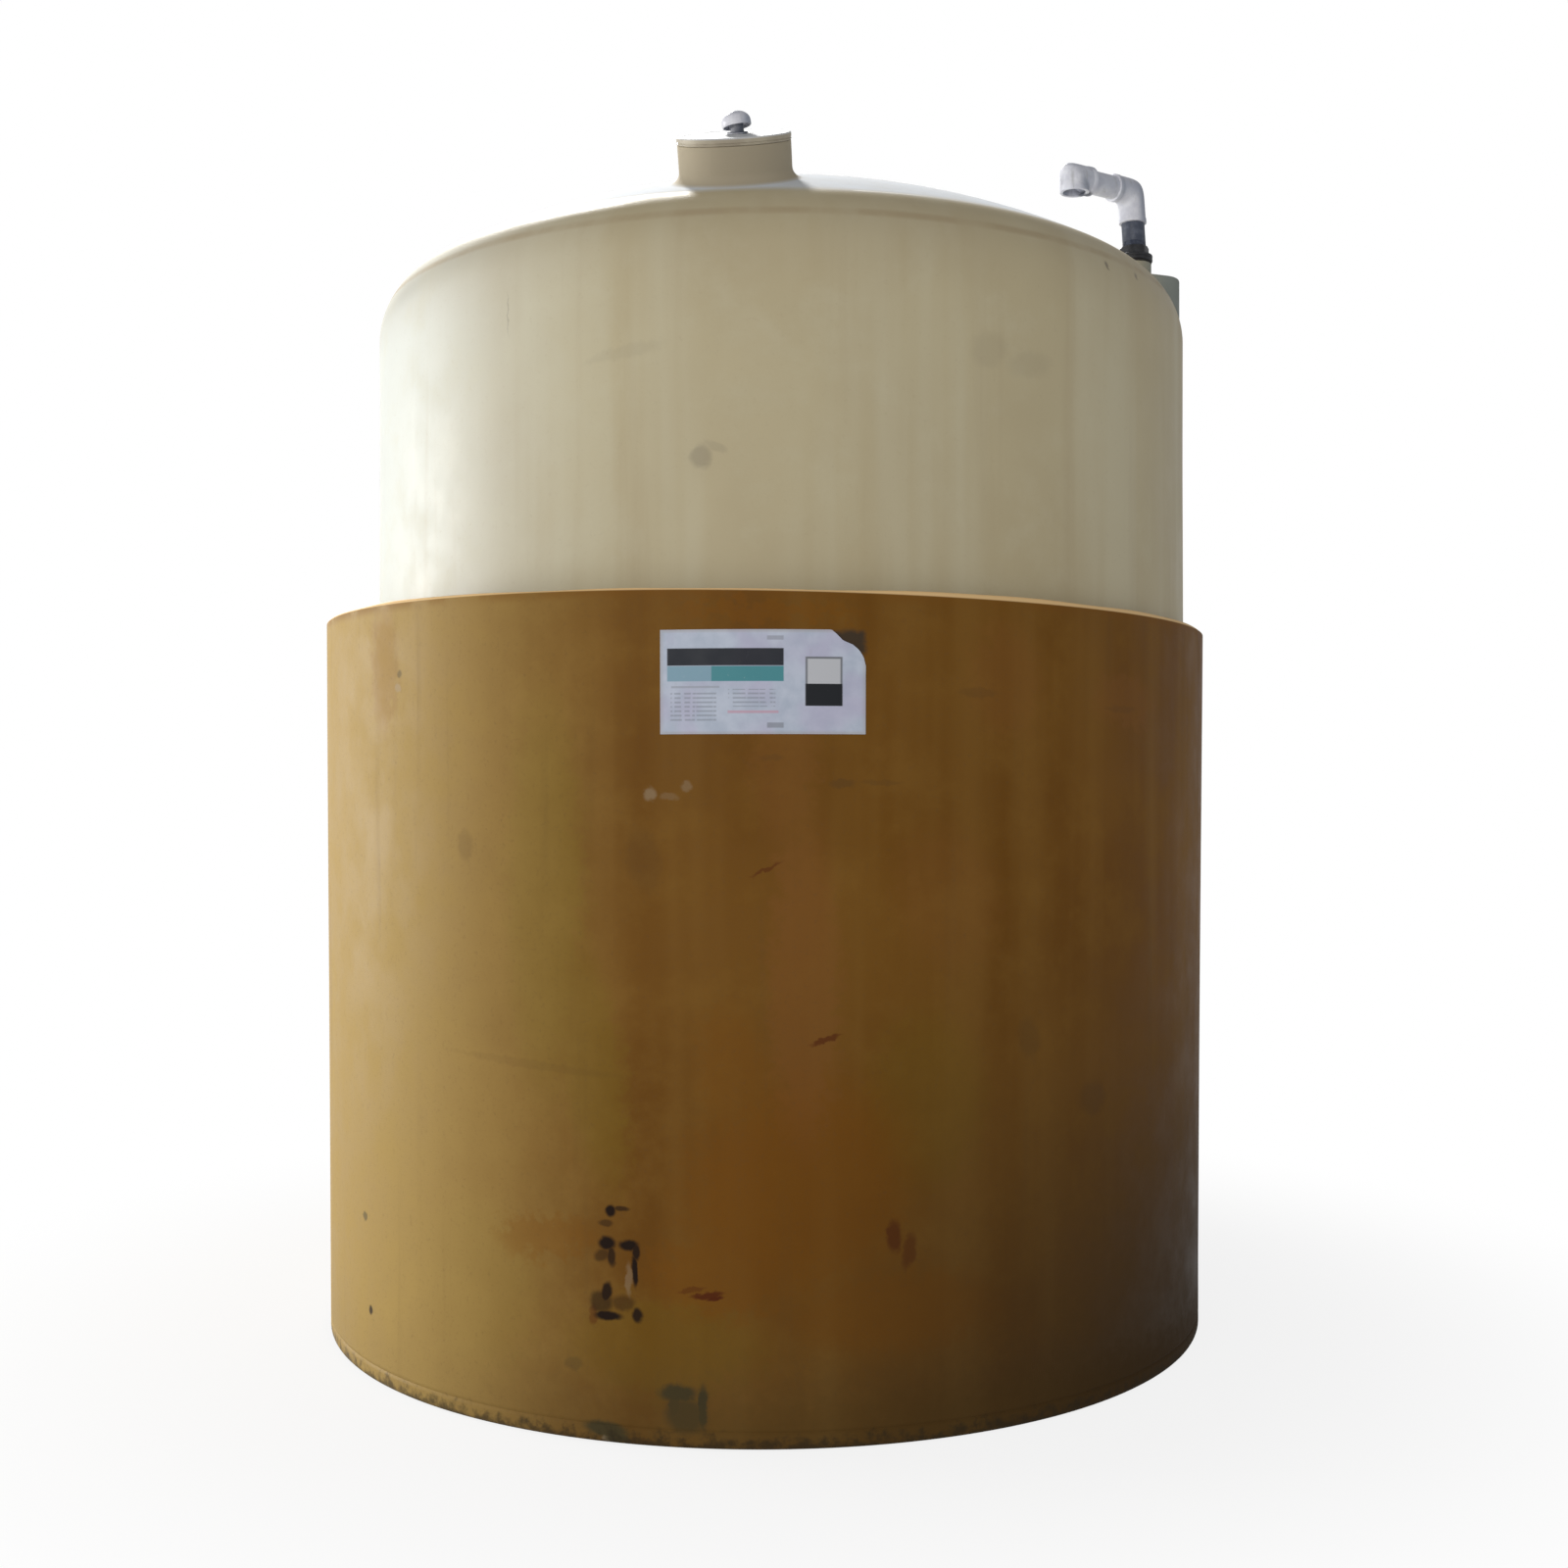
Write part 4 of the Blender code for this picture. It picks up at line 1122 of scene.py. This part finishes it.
SHEET_SHADE = (0.46, 0.52, 0.63)
SHEET_WHITE = (0.58, 0.63, 0.74)
SHEET_TINT = (0.52, 0.47, 0.64)
SHEET_WORN = (0.58, 0.60, 0.64)
SHEET_DIRT = (0.30, 0.24, 0.17)
SHEET_EDGE = (0.40, 0.34, 0.26)
BAR_GREY = (0.22, 0.24, 0.28)
BOX_FRAME = (0.20, 0.21, 0.23)
BOX_PALE = (0.56, 0.57, 0.60)
BOX_DARK = (0.018, 0.020, 0.024)
# Plain printed areas of the label: left, right, low, high as shares of its width and height
LABEL_PRINT = [
    ((0.035, 0.600, 0.655, 0.820), (0.012, 0.014, 0.020), 0.97),
    ((0.035, 0.250, 0.505, 0.650), (0.200, 0.370, 0.460), 0.85),
    ((0.250, 0.600, 0.505, 0.650), (0.055, 0.270, 0.300), 0.95),
    ((0.055, 0.290, 0.440, 0.460), (0.330, 0.350, 0.400), 0.6),
    ((0.330, 0.575, 0.200, 0.225), (0.600, 0.330, 0.420), 0.7),
    ((0.520, 0.600, 0.060, 0.110), (0.200, 0.210, 0.240), 0.6),
    ((0.520, 0.600, 0.900, 0.940), (0.300, 0.310, 0.360), 0.6),
]
LABEL_LINES = [(0.050, 0.275, 0.110, 0.420), (0.325, 0.560, 0.260, 0.430)]
LABEL_INSIDE = (0.012, 0.988, 0.025, 0.975)
LABEL_BOX = (0.705, 0.885, 0.270, 0.740)
LABEL_BOX_FILL = 0.45
LABEL_FRAME = 0.010


def label_box():
    """A plain framed box, dark in its lower part: its areas with their tones and strengths."""
    left, right, low, high = LABEL_BOX
    inner = (left + LABEL_FRAME, right - LABEL_FRAME, low + 2 * LABEL_FRAME, high - 2 * LABEL_FRAME)
    lower = (left, right, low, blend(low, high, LABEL_BOX_FILL))
    return [(LABEL_BOX, BOX_FRAME, 1.0), (inner, BOX_PALE, 1.0), (lower, BOX_DARK, 1.0)]


def label_sheet():
    """Pale weathered sheet with plain printed areas, and lines of grey bars without letters."""
    paint = Paint("label_sheet", 0.42, 0.15)
    paint.on_wall(radius=BASIN_RIM_R)
    from_left = paint.plus(paint.along, LABEL_SPAN / 2 - LABEL_MIDDLE)
    along = paint.math("DIVIDE", from_left, LABEL_SPAN)
    up = paint.math("DIVIDE", paint.plus(paint.z, -LABEL_Z[0]), LABEL_Z[1] - LABEL_Z[0])
    cloud = paint.noise(16, 5, 0.6)
    paint.ground(cloud, 0.3, 0.7, SHEET_SHADE, SHEET_WHITE)
    paint.veil(paint.noise(9, 2, 0.5, shift=(4, 4, 4)), 0.45, 0.7, 0.5, SHEET_TINT)
    lines = paint.ramp(paint.math("SINE", paint.times(up, 150.0)), 0.1, 0.5)
    words = paint.ramp(paint.noise(75, 1, 0.4, stretch=(1, 1, 0.1), shift=(9, 0, 2)), 0.38, 0.46)
    bars = paint.times(paint.times(lines, words), 0.5)
    for area in LABEL_LINES:
        paint.over(paint.times(paint.patch(along, up, area), bars), BAR_GREY)
    for area, tone, strength in LABEL_PRINT + label_box():
        paint.over(paint.times(paint.patch(along, up, area), strength), tone)
    paint.veil(paint.noise(48, 5, 0.7, shift=(1, 2, 3)), 0.66, 0.78, 0.45, SHEET_WORN)
    paint.veil(paint.noise(30, 5, 0.7, stretch=(1, 1, 0.3)), 0.60, 0.85, 0.25, SHEET_DIRT)
    inside = paint.patch(along, up, LABEL_INSIDE, 0.014)
    paint.over(paint.math("SUBTRACT", 0.35, paint.times(inside, 0.35)), SHEET_EDGE)
    return paint.finish(paint.ramp(cloud, 0.3, 0.7, 0.3, 0.5), paint.noise(120, 3, 0.6), 0.1, 0.0006)


def dress():
    pieces = bpy.data.objects
    put(basin_plastic(), pieces["basin_shell"])
    put(tank_plastic("tank_plastic", True), pieces["tank_shell"])
    put(tank_plastic("flat_plastic", False), pieces["moulded_flat"], pieces["moulded_boss"])
    put(lid_plastic(), pieces["lid_disc"])
    put(vent_white(), pieces["mushroom_stem"], pieces["mushroom_cap"], pieces["upper_elbow"],
        pieces["level_run"], pieces["outlet_elbow"])
    put(worn("fitting_black", (0.010, 0.010, 0.012), (0.034, 0.036, 0.042), 0.40, 40, 0.15),
        pieces["bulkhead_flange"], pieces["hexagon_nut"])
    put(worn("gasket_rubber", (0.012, 0.011, 0.010), (0.040, 0.037, 0.034), 0.75, 60, 0.2),
        frame["nodes"]["vent_gasket"])
    put(worn("nipple_slate", (0.045, 0.055, 0.085), (0.110, 0.125, 0.165), 0.42, 45, 0.12),
        pieces["pipe_nipple"])
    put(label_sheet(), pieces["label_sheet"])


# Camera, light and floor

CAMERA_PLACE = (0.0586, -5.726, 1.6)
CAMERA_PITCH = 0.0084
SENSOR = 36.0
PHOTO_WIDTH = 1600
FOCAL_PIXELS = 1815.7


def make_camera():
    data = bpy.data.cameras.new("camera")
    data.sensor_fit = "HORIZONTAL"
    data.sensor_width = SENSOR
    data.lens = FOCAL_PIXELS / PHOTO_WIDTH * SENSOR
    data.clip_end = 200.0
    camera = new_object("camera", data)
    camera.location = CAMERA_PLACE
    camera.rotation_euler = (math.pi / 2 + CAMERA_PITCH, 0.0, 0.0)
    bpy.context.scene.camera = camera


def area_light(name, bearing, distance, height, size, power, colour):
    """A soft light at a bearing in degrees from the front, positive to the right."""
    data = bpy.data.lights.new(name, "AREA")
    data.shape = "RECTANGLE"
    data.size, data.size_y = size
    data.energy = power
    data.color = colour
    light = new_object(name, data)
    turn = math.radians(bearing)
    light.location = (distance * math.sin(turn), -distance * math.cos(turn), height)
    light.rotation_euler = (LIGHT_AIM - light.location).to_track_quat("-Z", "Y").to_euler()


LIGHT_AIM = Vector((0.0, 0.0, 1.5))
SUN_BEARING = math.radians(-162)
SUN_LIFT = math.radians(41)
SUN_POWER = 5.6

SKY_TONE = (0.97, 0.98, 1.0, 1.0)
BACKDROP_TONE = (1.0, 1.0, 1.0, 1.0)
SKY_TOP = 0.22
SKY_LEVEL = 0.80
SKY_GROUND = 0.30
SKY_LEAN = -0.30


def make_world():
    """Soft light, strongest from the horizon, and a white backdrop for the camera."""
    world = bpy.data.worlds.new("world")
    bpy.context.scene.world = world
    world.use_nodes = True
    world.node_tree.nodes.clear()
    sky = Nodes(world.node_tree)
    x, _, z = sky.split(sky.add("ShaderNodeTexCoord").outputs["Generated"])
    up = sky.math("MAXIMUM", z, 0.0)
    down = sky.math("MINIMUM", z, 0.0)
    strength = sky.math("MULTIPLY_ADD", up, SKY_TOP - SKY_LEVEL, SKY_LEVEL)
    strength = sky.math("MULTIPLY_ADD", down, SKY_LEVEL - SKY_GROUND, strength)
    strength = sky.times(strength, sky.math("MULTIPLY_ADD", x, SKY_LEAN, 1.0))
    light = sky.add("ShaderNodeBackground", {"Color": SKY_TONE, "Strength": strength})
    backdrop = sky.add("ShaderNodeBackground", {"Color": BACKDROP_TONE})
    seen = sky.add("ShaderNodeLightPath").outputs["Is Camera Ray"]
    choose = sky.add("ShaderNodeMixShader", {0: seen, 1: light.outputs[0], 2: backdrop.outputs[0]})
    sky.add("ShaderNodeOutputWorld", {"Surface": choose.outputs[0]})


FLOOR_HALF = 40.0
FLOOR_DROP = 0.001
FLOOR_FADE = (1.5, 3.2)
FLOOR_GLOW = 0.84
FLOOR_TONE = (0.92, 0.92, 0.92, 1.0)


def make_floor():
    """A pale floor that goes over into the white backdrop a few metres from the object."""
    mesh = bpy.data.meshes.new("floor")
    corners = [(x * FLOOR_HALF, y * FLOOR_HALF, -FLOOR_DROP)
               for x, y in ((-1, -1), (1, -1), (1, 1), (-1, 1))]
    mesh.from_pydata(corners, [], [(0, 1, 2, 3)])
    floor = new_object("floor", mesh)
    floor.visible_diffuse = False
    floor.visible_glossy = False
    paint = Paint("floor_pale", 0.9, 0.1)
    paint.shader.inputs["Base Color"].default_value = FLOOR_TONE
    far = paint.ramp(paint.measure("LENGTH", paint.place), *FLOOR_FADE, FLOOR_GLOW, 1.0)
    white = paint.add("ShaderNodeEmission", {"Strength": 1.0})
    over = paint.add("ShaderNodeMixShader", {0: far, 1: paint.shader.outputs[0], 2: white.outputs[0]})
    paint.link(over.outputs[0], paint.tree.nodes["Material Output"].inputs["Surface"])
    mesh.materials.append(paint.material)
    floor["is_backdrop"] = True


def make_sun():
    """A soft key from behind, high on the left, which lights the object and not the floor."""
    data = bpy.data.lights.new("back_key", "SUN")
    data.energy = SUN_POWER
    data.angle = math.radians(9)
    data.color = (1.0, 0.99, 0.97)
    light = new_object("back_key", data)
    level = math.cos(SUN_LIFT)
    towards = Vector((level * math.sin(SUN_BEARING), -level * math.cos(SUN_BEARING), math.sin(SUN_LIFT)))
    light.rotation_euler = towards.to_track_quat("Z", "Y").to_euler()
    lit = bpy.data.collections.new("lit_by_back_key")
    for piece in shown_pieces():
        lit.objects.link(piece)
    light.light_linking.receiver_collection = lit


def make_studio():
    make_camera()
    make_world()
    make_floor()
    make_sun()
    area_light("left_window", -102, 9.0, 2.2, (5.0, 5.0), 690.0, (1.0, 0.99, 0.96))
    area_light("front_fill", -15, 9.0, 3.0, (5.0, 3.0), 120.0, (1.0, 0.95, 0.87))
    bpy.context.scene.view_settings.view_transform = "Standard"


make_basin()
make_tank()
make_pad()
make_boss()
make_lid()
make_mushroom()
make_fitting()
make_gooseneck()
make_label()
dress()
make_studio()
